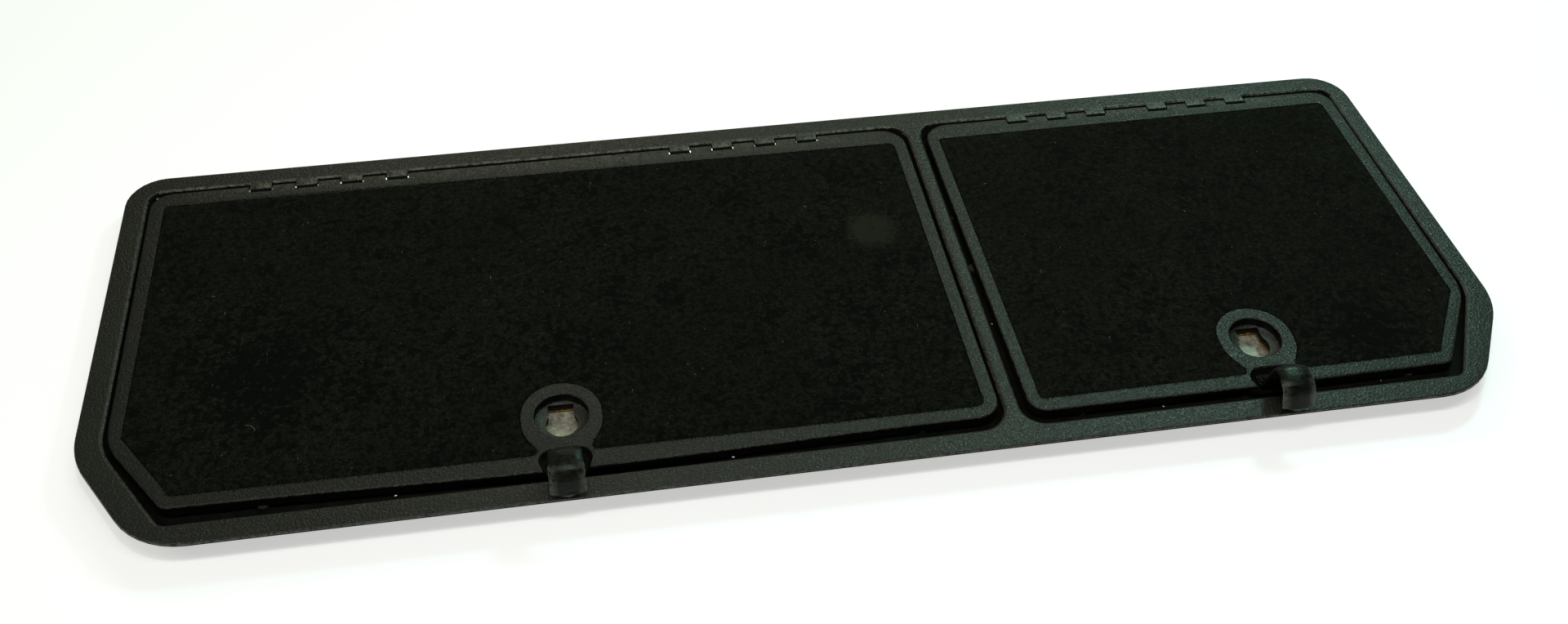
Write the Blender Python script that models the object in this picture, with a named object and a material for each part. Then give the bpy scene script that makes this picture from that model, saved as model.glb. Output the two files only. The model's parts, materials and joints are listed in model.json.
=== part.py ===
# Two-lid floor hatch: one moulded frame with a large and a small carpeted lid on long hinge rods.
# Each lid has a lock boss with a keyhole opening, a sliding bolt under it and a pull tab at the front.
# Lengths below are in millimetres. x runs along the hinge rods, y from the front edge to the back,
# z up from the top face of the flange. Meshes are made in metres about the middle of the base.
import math

import bmesh
import bpy
from mathutils import Vector

MM = 0.001
DEPTH = 379.4
FRONT_Y = -5.4
Y_MID = 0.5 * (DEPTH + FRONT_Y)
BASE_Z = -22.0

# Allowances: clearance between touching pieces, how far a cut or a joined shape runs past a face,
# and the flat band that borders each rounded edge
GAP = 0.3
PAST = 1.0
EDGE_BAND = 0.7

# Frame: corners run anticlockwise from the front left
OUTER = [(-478.3, 0.0), (478.3, 0.0), (530.0, 85.8), (522.2, DEPTH), (-522.2, DEPTH), (-530.0, 85.8)]
OUTER_RADII = [57.0, 57.0, 65.0, 31.0, 31.0, 65.0]
FLANGE = 3.0
FLANGE_CHAMFER = 0.5
EDGE_ROUND = 1.4
SHOULDER = 3.0
WALL = 2.5
LEDGE_TOP = -12.0
LEDGE_BOTTOM = -14.5
BACK_WALL_Y = 361.9
FRONT_WALL_Y = 18.4
LEDGE_FRONT = 18.6
LEDGE_CHAMFER = 16.0
LEDGE_SIDE = 14.0
LEDGE_BACK = 2.0
LEDGE_DIVIDER = 12.0
LEDGE_RADII = 8.0
SCREW_HOLE_R = 1.5
SCREW_HOLES = [(-312.0, 30.8), (-77.3, 30.2), (242.5, 30.8), (413.8, 31.2), (139.0, 131.4), (138.0, 254.4)]
FOOT_R = 5.0
FOOT_CHAMFER = 0.8
FEET = [(-440.0, 27.0), (-250.0, 27.0), (-20.0, 27.0), (100.0, 27.0), (170.0, 27.0), (445.0, 27.0),
        (-503.5, 120.0), (-498.0, 330.0), (505.5, 120.0), (500.4, 330.0), (113.0, 200.0), (113.0, 330.0),
        (139.0, 330.0)]
BUMPER_R = 4.0
BUMPER_TOP = -8.1
BUMPER_CHAMFER = 0.8
BUMPER_STEM_R = 1.5
BUMPER_HOLE_R = 1.8
BUMPERS = [(-400.0, 33.0), (60.0, 33.0), (115.5, 250.0), (138.0, 190.0), (180.0, 33.0), (435.0, 33.5)]

# Hinges
AXIS_Y = 357.0
AXIS_Z = -3.9
KNUCKLE_R = 3.9
ROD_R = 1.5
BORE_R = 1.8
KNUCKLE_WIDTH = 16.8
KNUCKLE_TOP = -0.05
KNUCKLE_STEP_Z = -2.0
KNUCKLE_LOW_ROOT = 1.2
KNUCKLE_HIGH_ROOT = 4.2
BORE_REACH = 4.0
NOTCH_WIDTH = 18.8
NOTCH_Y = 351.4
NOTCH_END_Y = 364.0
NOTCH_CORNER = 0.8

# Lids
LID_BOTTOM = -7.8
LID_ROUND = 1.2
SKIN = 2.5
CARPET_WELL = 3.0
WELL_BAND = 1.0
WELL_ROUND = 0.35
SKIRT = 2.5
BACK_RIB = 10.5
BOSS_R = 29.0
BOSS_DROP = 6.6
NECK_HALF = 19.5
NECK_Y = -31.8
NECK_FILLET = 4.0
CUP_R = 19.5
CUP_DROP = 2.4
CUP_LIFT = 1.0
CUP_ROUND = 0.9
CUP_FLOOR = -7.3
PAD_BOTTOM = -9.8
PAD_HALF = 26.0
PAD_FRONT = -27.0
PAD_BACK = 41.0
BLOCK_HALF = 23.0
BLOCK_FRONT_Y = 27.4
BLOCK_BACK_GAP = 0.4
BLOCK_CORNER = 6.0
BLOCK_DROP = 2.3
PILOT_R = 1.6
PILOT_BOTTOM = -7.0
RIVET_HOLE_DEPTH = 3.2
KEY_R = 11.65
KEY_Y = -4.0
KEY_HALF = 9.2
KEY_BACK = 14.5
POCKET_FLOOR = -7.2
POCKET_BACK = -31.0
POCKET_HALF = 19.3
POCKET_CORNER = 11.0
POCKET_SHRINK = 1.8
POCKET_MOUTH_Y = 18.0
POCKET_MOUTH_IN = 5.5
POCKET_SIDE_Y = 35.0
POCKET_SIDE_R = 7.0
POCKET_LEVELS = ((POCKET_FLOOR, 3.4), (-5.2, 2.6), (-1.1, 0.5), (-0.3, 0.1), (0.3, -0.5), (1.3, -0.6))
CARPET_GAP = 0.35
CARPET_TOP = -0.3
CARPET_BASE = -2.7
PANEL_TOP = -5.8
PANEL_BOTTOM = -7.8
PANEL_GAP = 0.5
PANEL_PAD_GAP = 0.6
PANEL_HOLE_R = 1.9
PANEL_SCREW_R = 1.3
PANEL_SCREW_HEAD_R = 3.2

# Pull tab, with the clamp and screws on its foot
TAB_HALF = 12.4
TAB_THICK = 2.0
TAB_BEVEL = 0.45
TAB_WAIST = 0.7
TAB_POINT = 4.5
TAB_SCREW_X = 6.5
TAB_SCREW_Y = 38.5
TAB_SCREW_R = 1.2
TAB_HOLE_R = 1.5
TAB_PILOT_DROP = 1.9
TAB_SCREW_TIP_DROP = 1.6
TAB_HEAD_R = 2.6
TAB_HEAD_TOP_R = 1.6
TAB_HEAD_HEIGHT = 1.2
CLAMP_SIDE_GAP = 0.9
CLAMP_HALF_DEPTH = 3.1
CLAMP_TOP = -3.4
CLAMP_BOTTOM = -4.6

# Lock collar, bolt and housing under each boss
COLLAR_TOP = -10.1
COLLAR_PLATE = 1.0
COLLAR_BOTTOM = -15.5
COLLAR_CLEAR = 0.8
COLLAR_WALL = 1.2
COLLAR_FRONT = -25.5
COLLAR_CORNER = 3.0
HOUSING_BACK = 39.0
HOUSING_WALL = 1.2
EAR_TOP = -11.4
EAR_THICK = 1.2
TROUGH_HALF = 14.6
TROUGH_BOTTOM = -20.2
TROUGH_FLOOR = -19.0
EAR_HALF = 25.0
HOUSING_FRONT = 46.0
RIVET_X = 21.5
RIVET_YS = (-20.0, 34.0)
BOLT_TOP = -16.6
BOLT_BOTTOM = -18.6
BOLT_TIP_Y = 38.4
BOLT_TRAVEL = 9.0
BOLT_STOP = 1.5
BOLT_CLEAR = 1.5
BOLT_BEVEL = 1.2
BOLT_STOP_HEIGHT = 3.0
BOLT_REAR = KEY_BACK + COLLAR_CLEAR + COLLAR_WALL + BOLT_TRAVEL + BOLT_STOP + BOLT_CLEAR
BOLT_NOSE_HALF = 10.5
BOLT_HALF = 13.8
BOLT_SHOULDER_Y = 61.0
KEEPER_TOP = -14.8
KEEPER_BOTTOM = -16.0
KEEPER_HALF = 30.0
KEEPER_FRONT = 24.0
KEEPER_BACK = 36.6
KEEPER_RIVET_X = 24.0
KEEPER_RIVET_Y = 29.0
RIVET_R = 1.5
RIVET_HOLE_R = 1.8
RIVET_HEAD_R = 3.0
RIVET_TAIL = 1.1
HEAD_CROWN = 0.55
HEAD_RIM = 0.5
HEAD_HEIGHT = 1.2

LARGE = {
    "name": "large",
    "boss": (-194.3, 77.6),
    "corners": [(-465.1, 32.0), (118.6, 29.4), (116.7, 360.9), (-502.6, 360.9), (-508.2, 94.8)],
    "radii": [9.0, 17.0, 22.0, 18.0, 50.0],
    "sides": ("front", "divider", "back", "side", "chamfer"),
    "bow": 4.9,
    "carpet": [(-460.3, 42.3), (108.1, 40.1), (106.6, 340.4), (-491.5, 343.2), (-498.3, 99.5)],
    "carpet_radii": [1.5, 6.0, 5.0, 2.5, 2.0],
    "opening": [(-465.4, FRONT_WALL_Y), (120.6, FRONT_WALL_Y), (120.2, BACK_WALL_Y),
                (-504.4, BACK_WALL_Y), (-511.0, 92.2)],
    "opening_radii": [9.0, 20.0, 19.0, 13.0, 50.0],
    "knuckles": [-417.4, -380.9, -344.9, -308.5, -74.5, -38.3, -1.8, 34.2],
    "rod": (-499.4, 46.0),
    "bore": (-520.0, 130.0),
    "screws": [(-440, 70), (92, 56), (92, 335), (-190, 335), (-470, 335), (-60, 56)],
}
SMALL = {
    "name": "small",
    "boss": (328.9, 78.3),
    "corners": [(140.3, 29.0), (466.7, 30.6), (510.4, 100.8), (505.4, 360.9), (136.0, 360.9)],
    "radii": [14.0, 9.0, 50.0, 18.0, 21.0],
    "sides": ("front", "chamfer", "side", "back", "divider"),
    "bow": 0.9,
    "carpet": [(149.7, 40.4), (462.4, 42.0), (500.6, 102.6), (494.3, 342.8), (146.2, 340.6)],
    "carpet_radii": [3.0, 1.5, 2.0, 4.0, 3.0],
    "opening": [(132.7, FRONT_WALL_Y), (469.2, FRONT_WALL_Y), (513.0, 100.6),
                (506.6, BACK_WALL_Y), (132.5, BACK_WALL_Y)],
    "opening_radii": [18.0, 9.0, 50.0, 13.0, 18.0],
    "knuckles": [219.7, 255.4, 291.0, 347.1, 383.1, 418.9],
    "rod": (208.0, 501.8),
    "bore": (120.0, 520.0),
    "screws": [(165, 62), (440, 70), (478, 335), (165, 335)],
}

MIN_RADIUS = 0.6
CORNER_STEPS = 7
OUTER_STEPS = 7
BOW_STEPS = 10
RIVET_SIDES = 8
HOLE_SIDES = 10


# ---------------------------------------------------------------- outlines
def inset_corners(corners, insets):
    """Corners of a convex ring after side i, from corner i to corner i + 1, moves in by insets[i]."""
    lines = []
    for i, (ax, ay) in enumerate(corners):
        bx, by = corners[(i + 1) % len(corners)]
        length = math.hypot(bx - ax, by - ay)
        nx = -(by - ay) / length
        ny = (bx - ax) / length
        lines.append((nx, ny, nx * ax + ny * ay + insets[i]))
    moved = []
    for i, (a2, b2, c2) in enumerate(lines):
        a1, b1, c1 = lines[i - 1]
        det = a1 * b2 - a2 * b1
        moved.append(((c1 * b2 - c2 * b1) / det, (a1 * c2 - a2 * c1) / det))
    return moved


def corner_arc(before, corner, after, radius, steps):
    """Points of the arc that rounds one convex corner of an anticlockwise ring."""
    tip = Vector(corner)
    back = (Vector(before) - tip).normalized()
    ahead = (Vector(after) - tip).normalized()
    half = 0.5 * back.angle(ahead)
    centre = tip + (back + ahead).normalized() * (radius / math.sin(half))
    arm = tip + back * (radius / math.tan(half)) - centre
    sweep = math.pi - 2.0 * half
    points = []
    for k in range(steps + 1):
        turn = sweep * k / steps
        x = arm.x * math.cos(turn) - arm.y * math.sin(turn)
        y = arm.x * math.sin(turn) + arm.y * math.cos(turn)
        points.append((centre.x + x, centre.y + y))
    return points


def rounded_ring(corners, radii, insets=None, steps=CORNER_STEPS, bow=0.0):
    """Rounded anticlockwise ring; with a bow, side 0 swells towards the front."""
    count = len(corners)
    insets = insets or [0.0] * count
    moved = inset_corners(corners, insets)
    points = []
    for i in range(count):
        radius = max(radii[i] - 0.5 * (insets[i - 1] + insets[i]), MIN_RADIUS)
        arc = corner_arc(moved[i - 1], moved[i], moved[(i + 1) % count], radius, steps)
        if i == 1 and bow:
            points += bowed_side(points[-1], arc[0], bow)
        points += arc
    return points


def bowed_side(start, end, bow):
    """Points strictly between two ends of a side that swells by bow halfway along."""
    points = []
    for k in range(1, BOW_STEPS):
        t = k / BOW_STEPS
        swell = bow * 0.5 * (1.0 - math.cos(2.0 * math.pi * t))
        points.append((start[0] + (end[0] - start[0]) * t, start[1] + (end[1] - start[1]) * t - swell))
    return points


def offset_path(points, grow):
    """Closed anticlockwise path moved outwards by a small distance."""
    count = len(points)
    moved = []
    for i, (x, y) in enumerate(points):
        a = Vector((x, y)) - Vector(points[i - 1])
        b = Vector(points[(i + 1) % count]) - Vector((x, y))
        na = Vector((a.y, -a.x)).normalized()
        nb = Vector((b.y, -b.x)).normalized()
        mitre = (na + nb).normalized()
        reach = grow / max(mitre.dot(na), 0.5)
        moved.append((x + mitre.x * reach, y + mitre.y * reach))
    return moved


def arc_points(cx, cy, radius, start, end, steps):
    """Points on an arc; angles are in degrees."""
    points = []
    for k in range(steps + 1):
        angle = math.radians(start + (end - start) * k / steps)
        points.append((cx + radius * math.cos(angle), cy + radius * math.sin(angle)))
    return points


def circle(cx, cy, radius, sides):
    return arc_points(cx, cy, radius, 0.0, 360.0, sides)[:-1]


def rectangle(x0, y0, x1, y1):
    return [(x0, y0), (x1, y0), (x1, y1), (x0, y1)]


def stadium(cx, y_high, y_low, radius, steps=14):
    """Ring with round ends towards the back and the front."""
    high = arc_points(cx, y_high, radius, 0.0, 180.0, steps)
    low = arc_points(cx, y_low, radius, 180.0, 360.0, steps)
    return high + low


def keyhole(boss, grow=0.0):
    """Round opening with a flat-ended tongue towards the hinge."""
    cx, cy = boss[0], boss[1] + KEY_Y
    radius = KEY_R + grow
    half = KEY_HALF + grow
    meet = math.degrees(math.acos(half / radius))
    top = boss[1] + KEY_BACK + grow
    arc = arc_points(cx, cy, radius, 180.0 - meet, 360.0 + meet, 20)
    return [(cx + half, top), (cx - half, top)] + arc


def carpet_ring(lid):
    """Edge of the carpet well, with the lock boss and its neck cut out of the front."""
    corners = lid["carpet"]
    radii = lid["carpet_radii"]
    bx, by = lid["boss"]
    points = []
    for i in range(len(corners)):
        arc = corner_arc(corners[i - 1], corners[i], corners[(i + 1) % len(corners)], radii[i], 3)
        if i == 1:
            points += boss_cut(bx, by, points[-1], arc[0])
        points += arc
    return points


def boss_cut(bx, by, start, end):
    """Way round the boss from the front edge on its left to the front edge on its right."""
    slope = (end[1] - start[1]) / (end[0] - start[0])
    edge_y = start[1] + slope * (bx - start[0])
    foot_x = NECK_HALF + NECK_FILLET
    low_y = by - BOSS_DROP
    neck = Vector((NECK_HALF, by + NECK_Y - low_y))
    lean = math.atan2(-neck.y, neck.x) - math.acos(BOSS_R / neck.length)
    lean = math.degrees(lean)
    left = arc_points(bx - foot_x, edge_y + NECK_FILLET, NECK_FILLET, -90.0, 0.0, 3)
    left += [(bx - NECK_HALF, by + NECK_Y)]
    left += arc_points(bx, low_y, BOSS_R, 180.0 + lean, 180.0, 3)
    crown = arc_points(bx, by, BOSS_R, 180.0, 0.0, 20)
    right = [(2.0 * bx - x, y) for x, y in reversed(left)]
    return left + crown + right


# ---------------------------------------------------------------- solids
def place(x, y, z):
    return (x * MM, (y - Y_MID) * MM, (z - BASE_Z) * MM)


def add_ring(bm, points, z):
    return [bm.verts.new(place(x, y, z)) for x, y in points]


def add_band(bm, first, second):
    count = len(first)
    for i in range(count):
        j = (i + 1) % count
        bm.faces.new((first[i], first[j], second[j], second[i]))


def add_stack(bm, levels):
    """Bands between successive (points, z) levels; returns the first and the last ring."""
    rings = [add_ring(bm, points, z) for points, z in levels]
    for lower, upper in zip(rings, rings[1:]):
        add_band(bm, lower, upper)
    return rings[0], rings[-1]


def add_fill(bm, rings):
    """Flat face between an outer ring and any rings inside it."""
    edges = []
    for ring in rings:
        for i in range(len(ring)):
            edges.append(bm.edges.get((ring[i - 1], ring[i])))
    bmesh.ops.triangle_fill(bm, use_beauty=True, edges=edges, normal=Vector((0.0, 0.0, 1.0)))


def add_prism(bm, points, z_low, z_high):
    low, high = add_stack(bm, [(points, z_low), (points, z_high)])
    bm.faces.new(list(reversed(low)))
    bm.faces.new(high)


def add_loft(bm, levels):
    low, high = add_stack(bm, levels)
    bm.faces.new(list(reversed(low)))
    bm.faces.new(high)


def add_bar(bm, profile, x_low, x_high):
    """Prism along x; the profile holds (y, z) pairs."""
    near = [bm.verts.new(place(x_low, y, z)) for y, z in profile]
    far = [bm.verts.new(place(x_high, y, z)) for y, z in profile]
    add_band(bm, near, far)
    bm.faces.new(list(reversed(near)))
    bm.faces.new(far)


def make_object(name, bm, finish, origin=(0.0, Y_MID, BASE_Z), shade_angle=28.0):
    """Closes off one body, turns its faces outwards and sets its origin."""
    bmesh.ops.remove_doubles(bm, verts=bm.verts, dist=1e-7)
    bmesh.ops.recalc_face_normals(bm, faces=bm.faces)
    home = Vector(place(*origin))
    bmesh.ops.translate(bm, verts=bm.verts, vec=-home)
    mesh = bpy.data.meshes.new(name)
    bm.to_mesh(mesh)
    bm.free()
    if finish:
        mesh.materials.append(finish)
    body = bpy.data.objects.new(name, mesh)
    body.location = home
    bpy.context.scene.collection.objects.link(body)
    mesh.shade_smooth()
    mesh.set_sharp_from_angle(angle=math.radians(shade_angle))
    return body


def combine(body, operation, build, solver="EXACT"):
    """Joins or cuts the body with what build adds to an empty mesh."""
    bm = bmesh.new()
    build(bm)
    tool = make_object("tool", bm, None)
    modifier = body.modifiers.new("combine", "BOOLEAN")
    modifier.operation = operation
    modifier.solver = solver
    modifier.object = tool
    bpy.context.view_layer.objects.active = body
    bpy.ops.object.modifier_apply(modifier=modifier.name)
    mesh = tool.data
    bpy.data.objects.remove(tool)
    bpy.data.meshes.remove(mesh)


def reshade(body, shade_angle=28.0):
    """Joins flat neighbours again after cuts and marks the hard edges."""
    bm = bmesh.new()
    bm.from_mesh(body.data)
    bmesh.ops.remove_doubles(bm, verts=bm.verts, dist=2e-6)
    bmesh.ops.dissolve_degenerate(bm, edges=bm.edges, dist=2e-6)
    bmesh.ops.triangulate(bm, faces=[f for f in bm.faces if len(f.verts) > 4])
    bm.to_mesh(body.data)
    bm.free()
    body.data.shade_smooth()
    body.data.set_sharp_from_angle(angle=math.radians(shade_angle))


def make_finish(name, colour, roughness, metallic=0.0):
    finish = bpy.data.materials.new(name)
    finish.use_nodes = True
    shader = finish.node_tree.nodes["Principled BSDF"]
    shader.inputs["Base Color"].default_value = (*colour, 1.0)
    shader.inputs["Roughness"].default_value = roughness
    shader.inputs["Metallic"].default_value = metallic
    return finish


# ---------------------------------------------------------------- frame
def quarter_round(radius, top, steps=3):
    """(inset, z) pairs down a rounded edge that starts flat and ends upright."""
    pairs = []
    for k in range(steps + 1):
        angle = 0.5 * math.pi * k / steps
        pairs.append((radius * (1.0 - math.sin(angle)), top - radius * (1.0 - math.cos(angle))))
    return pairs


def ledge_insets(lid):
    widths = {"front": LEDGE_FRONT, "chamfer": LEDGE_CHAMFER, "side": LEDGE_SIDE,
              "back": LEDGE_BACK, "divider": LEDGE_DIVIDER}
    return [widths[side] for side in lid["sides"]]


def opening_levels(lid):
    """Rings of one opening, from the flange over its shoulder, down the wall and round the ledge."""
    corners = lid["opening"]
    radii = lid["opening_radii"]

    def grown(distance):
        return rounded_ring(corners, radii, [-distance] * len(corners))

    inner_corners = inset_corners(corners, ledge_insets(lid))
    inner = rounded_ring(inner_corners, [LEDGE_RADII] * len(corners))
    levels = [(grown(SHOULDER + EDGE_BAND), 0.0)]
    levels += [(grown(out), z) for out, z in quarter_round(SHOULDER, 0.0)]
    levels += [(grown(0.0), LEDGE_TOP), (inner, LEDGE_TOP), (inner, LEDGE_BOTTOM)]
    levels += [(grown(WALL), LEDGE_BOTTOM), (grown(WALL), -FLANGE)]
    return levels


def make_frame(finish):
    bm = bmesh.new()
    sides = len(OUTER)

    def outer(inset):
        return rounded_ring(OUTER, OUTER_RADII, [inset] * sides, OUTER_STEPS)

    levels = [(outer(EDGE_ROUND + EDGE_BAND), 0.0)]
    levels += [(outer(inset), z) for inset, z in quarter_round(EDGE_ROUND, 0.0)]
    levels += [(outer(0.0), FLANGE_CHAMFER - FLANGE), (outer(FLANGE_CHAMFER), -FLANGE)]
    top, bottom = add_stack(bm, levels)
    tops, bottoms = [top], [bottom]
    for lid in (LARGE, SMALL):
        high, low = add_stack(bm, opening_levels(lid))
        tops.append(high)
        bottoms.append(low)
    add_fill(bm, tops)
    add_fill(bm, bottoms)
    frame = make_object("frame_moulding", bm, finish)
    combine(frame, "UNION", add_knuckles)
    combine(frame, "UNION", add_feet)
    combine(frame, "DIFFERENCE", add_frame_holes)
    reshade(frame)
    return frame


def add_knuckles(bm):
    """Frame knuckles: round noses that reach forward from the back wall."""
    nose = [(AXIS_Y + KNUCKLE_R * math.cos(a), AXIS_Z + KNUCKLE_R * math.sin(a))
            for a in [math.radians(90.0 + 22.5 * k) for k in range(9)]]
    nose[0] = (AXIS_Y, KNUCKLE_TOP)
    low_y = BACK_WALL_Y + KNUCKLE_LOW_ROOT
    high_y = BACK_WALL_Y + KNUCKLE_HIGH_ROOT
    root = [(low_y, AXIS_Z - KNUCKLE_R), (low_y, KNUCKLE_STEP_Z), (high_y, KNUCKLE_STEP_Z),
            (high_y, KNUCKLE_TOP)]
    for lid in (LARGE, SMALL):
        for x in lid["knuckles"]:
            add_bar(bm, nose + root, x - 0.5 * KNUCKLE_WIDTH, x + 0.5 * KNUCKLE_WIDTH)


def add_feet(bm):
    for x, y in FEET:
        foot = [(circle(x, y, FOOT_R - FOOT_CHAMFER, HOLE_SIDES), BASE_Z),
                (circle(x, y, FOOT_R, HOLE_SIDES), BASE_Z + FOOT_CHAMFER),
                (circle(x, y, FOOT_R, HOLE_SIDES), LEDGE_BOTTOM + PAST)]
        add_loft(bm, foot)


def rod_hole(bm, x_low, x_high, radius):
    ring = circle(AXIS_Y, AXIS_Z, radius, HOLE_SIDES)
    add_bar(bm, ring, x_low, x_high)


def add_frame_holes(bm):
    low, high = LEDGE_BOTTOM - PAST, LEDGE_TOP + PAST
    for x, y in SCREW_HOLES:
        add_prism(bm, circle(x, y, SCREW_HOLE_R, HOLE_SIDES), low, high)
    for x, y in BUMPERS:
        add_prism(bm, circle(x, y, BUMPER_HOLE_R, RIVET_SIDES), low, high)
    for lid in (LARGE, SMALL):
        reach = 0.5 * KNUCKLE_WIDTH + BORE_REACH
        rod_hole(bm, lid["knuckles"][0] - reach, lid["knuckles"][-1] + reach, BORE_R)
        for x in keeper_rivets(lid):
            add_prism(bm, circle(x, KEEPER_RIVET_Y, RIVET_HOLE_R, RIVET_SIDES), low, high)


def keeper_rivets(lid):
    return (lid["boss"][0] - KEEPER_RIVET_X, lid["boss"][0] + KEEPER_RIVET_X)


def make_rod(lid, finish):
    bm = bmesh.new()
    x_low, x_high = lid["rod"]
    add_bar(bm, circle(AXIS_Y, AXIS_Z, ROD_R, HOLE_SIDES), x_low, x_high)
    make_object(lid["name"] + "_hinge_rod", bm, finish, (0.5 * (x_low + x_high), AXIS_Y, AXIS_Z), 40.0)


def make_bumpers(finish):
    """Rubber buttons with a stem through the ledge."""
    for number, (x, y) in enumerate(BUMPERS, 1):
        bm = bmesh.new()
        levels = [(BUMPER_STEM_R, LEDGE_BOTTOM), (BUMPER_STEM_R, LEDGE_TOP + GAP),
                  (BUMPER_R, LEDGE_TOP + GAP), (BUMPER_R, BUMPER_TOP - BUMPER_CHAMFER),
                  (BUMPER_R - BUMPER_CHAMFER, BUMPER_TOP)]
        add_loft(bm, [(circle(x, y, radius, RIVET_SIDES), z) for radius, z in levels])
        make_object(f"rest_bumper_{number}", bm, finish, (x, y, BUMPER_TOP), 40.0)


def make_keeper(lid, finish):
    """Strike plate under the front ledge, with two holes for its rivets."""
    bx = lid["boss"][0]
    bm = bmesh.new()
    outline = rectangle(bx - KEEPER_HALF, KEEPER_FRONT, bx + KEEPER_HALF, KEEPER_BACK)
    plate = rounded_ring(outline, [2.0] * 4, steps=3)
    low, high = add_stack(bm, [(plate, KEEPER_BOTTOM), (plate, KEEPER_TOP)])
    lows, highs = [low], [high]
    for x in keeper_rivets(lid):
        hole = circle(x, KEEPER_RIVET_Y, RIVET_HOLE_R, RIVET_SIDES)
        under, over = add_stack(bm, [(hole, KEEPER_BOTTOM), (hole, KEEPER_TOP)])
        lows.append(under)
        highs.append(over)
    add_fill(bm, lows)
    add_fill(bm, highs)
    make_object(lid["name"] + "_keeper", bm, finish)


def add_rivet(bm, x, y, z_head, z_tip, shank, head, rise):
    """Rivet with its head below and its shank upwards; a taller second head caps it when rise is set."""
    levels = [(HEAD_CROWN * head, z_head - HEAD_HEIGHT), (head, z_head - HEAD_RIM), (head, z_head),
              (shank, z_head), (shank, z_tip)]
    if rise:
        levels += [(head, z_tip), (head, z_tip + HEAD_RIM), (HEAD_CROWN * head, z_tip + rise)]
    add_loft(bm, [(circle(x, y, radius, RIVET_SIDES), z) for radius, z in levels])


def make_keeper_rivets(lid, finish):
    for number, x in enumerate(keeper_rivets(lid), 1):
        bm = bmesh.new()
        add_rivet(bm, x, KEEPER_RIVET_Y, KEEPER_BOTTOM - GAP, LEDGE_TOP + GAP, RIVET_R, RIVET_HEAD_R,
                  RIVET_TAIL)
        home = (x, KEEPER_RIVET_Y, LEDGE_TOP)
        make_object(f"{lid['name']}_keeper_rivet_{number}", bm, finish, home, 40.0)


# ---------------------------------------------------------------- lids
def lid_levels():
    """(back inset, other insets, z) down the outside of a lid; the back follows the hinge circle."""
    tops = [(LID_ROUND + EDGE_BAND, 0.0), (LID_ROUND, 0.0), (0.55, -0.2), (0.16, -0.55), (0.0, -1.2)]
    levels = []
    for inset, z in tops:
        levels.append((back_inset(z), inset, z))
    for z in (-3.9, -6.4, LID_BOTTOM):
        levels.append((back_inset(z), 0.0, z))
    levels[0] = (back_inset(0.0) + EDGE_BAND, levels[0][1], 0.0)
    return levels


def back_inset(z):
    return KNUCKLE_R - math.sqrt(max(KNUCKLE_R ** 2 - (z - AXIS_Z) ** 2, 0.0))


def side_insets(lid, back, other):
    return [back if side == "back" else other for side in lid["sides"]]


def make_lid(lid, finish):
    bm = bmesh.new()

    def ring(back, other):
        return rounded_ring(lid["corners"], lid["radii"], side_insets(lid, back, other), bow=lid["bow"])

    outside = [(ring(back, other), z) for back, other, z in lid_levels()]
    under = ring(BACK_RIB, SKIRT)
    outside += [(under, LID_BOTTOM), (under, -CARPET_WELL - SKIN)]
    well = carpet_ring(lid)
    inside = [(offset_path(well, WELL_BAND), 0.0), (offset_path(well, WELL_ROUND), 0.0),
              (well, -WELL_ROUND), (well, -CARPET_WELL)]
    top, skin = add_stack(bm, outside)
    rim, floor = add_stack(bm, inside)
    add_fill(bm, [top, rim])
    add_fill(bm, [floor])
    add_fill(bm, [skin])
    body = make_object(lid["name"] + "_lid_moulding", bm, finish, hinge_point(lid))
    combine(body, "UNION", lambda tool: add_lid_pads(tool, lid))
    combine(body, "DIFFERENCE", lambda tool: add_pocket(tool, lid), "MANIFOLD")
    combine(body, "DIFFERENCE", lambda tool: add_lid_cuts(tool, lid))
    combine(body, "DIFFERENCE", lambda tool: add_deep_cuts(tool, lid))
    combine(body, "DIFFERENCE", lambda tool: rod_hole(tool, *lid["bore"], BORE_R))
    reshade(body)


def hinge_point(lid):
    xs = [x for x, y in lid["corners"]]
    return (0.5 * (min(xs) + max(xs)), AXIS_Y, AXIS_Z)


def add_lid_pads(bm, lid):
    """Solid pad under the boss and a block under the pocket."""
    bx, by = lid["boss"]
    pad = rectangle(bx - PAD_HALF, by + PAD_FRONT, bx + PAD_HALF, by + PAD_BACK)
    add_prism(bm, pad, PAD_BOTTOM, -CARPET_WELL - 0.6 * SKIN)
    back = by + PAD_FRONT - BLOCK_BACK_GAP
    outline = rectangle(bx - BLOCK_HALF, BLOCK_FRONT_Y, bx + BLOCK_HALF, back)
    block = rounded_ring(outline, [BLOCK_CORNER, BLOCK_CORNER, 1.0, 1.0], steps=3)
    add_prism(bm, block, POCKET_FLOOR - BLOCK_DROP, -CARPET_WELL - 0.5 * SKIN)


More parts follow.
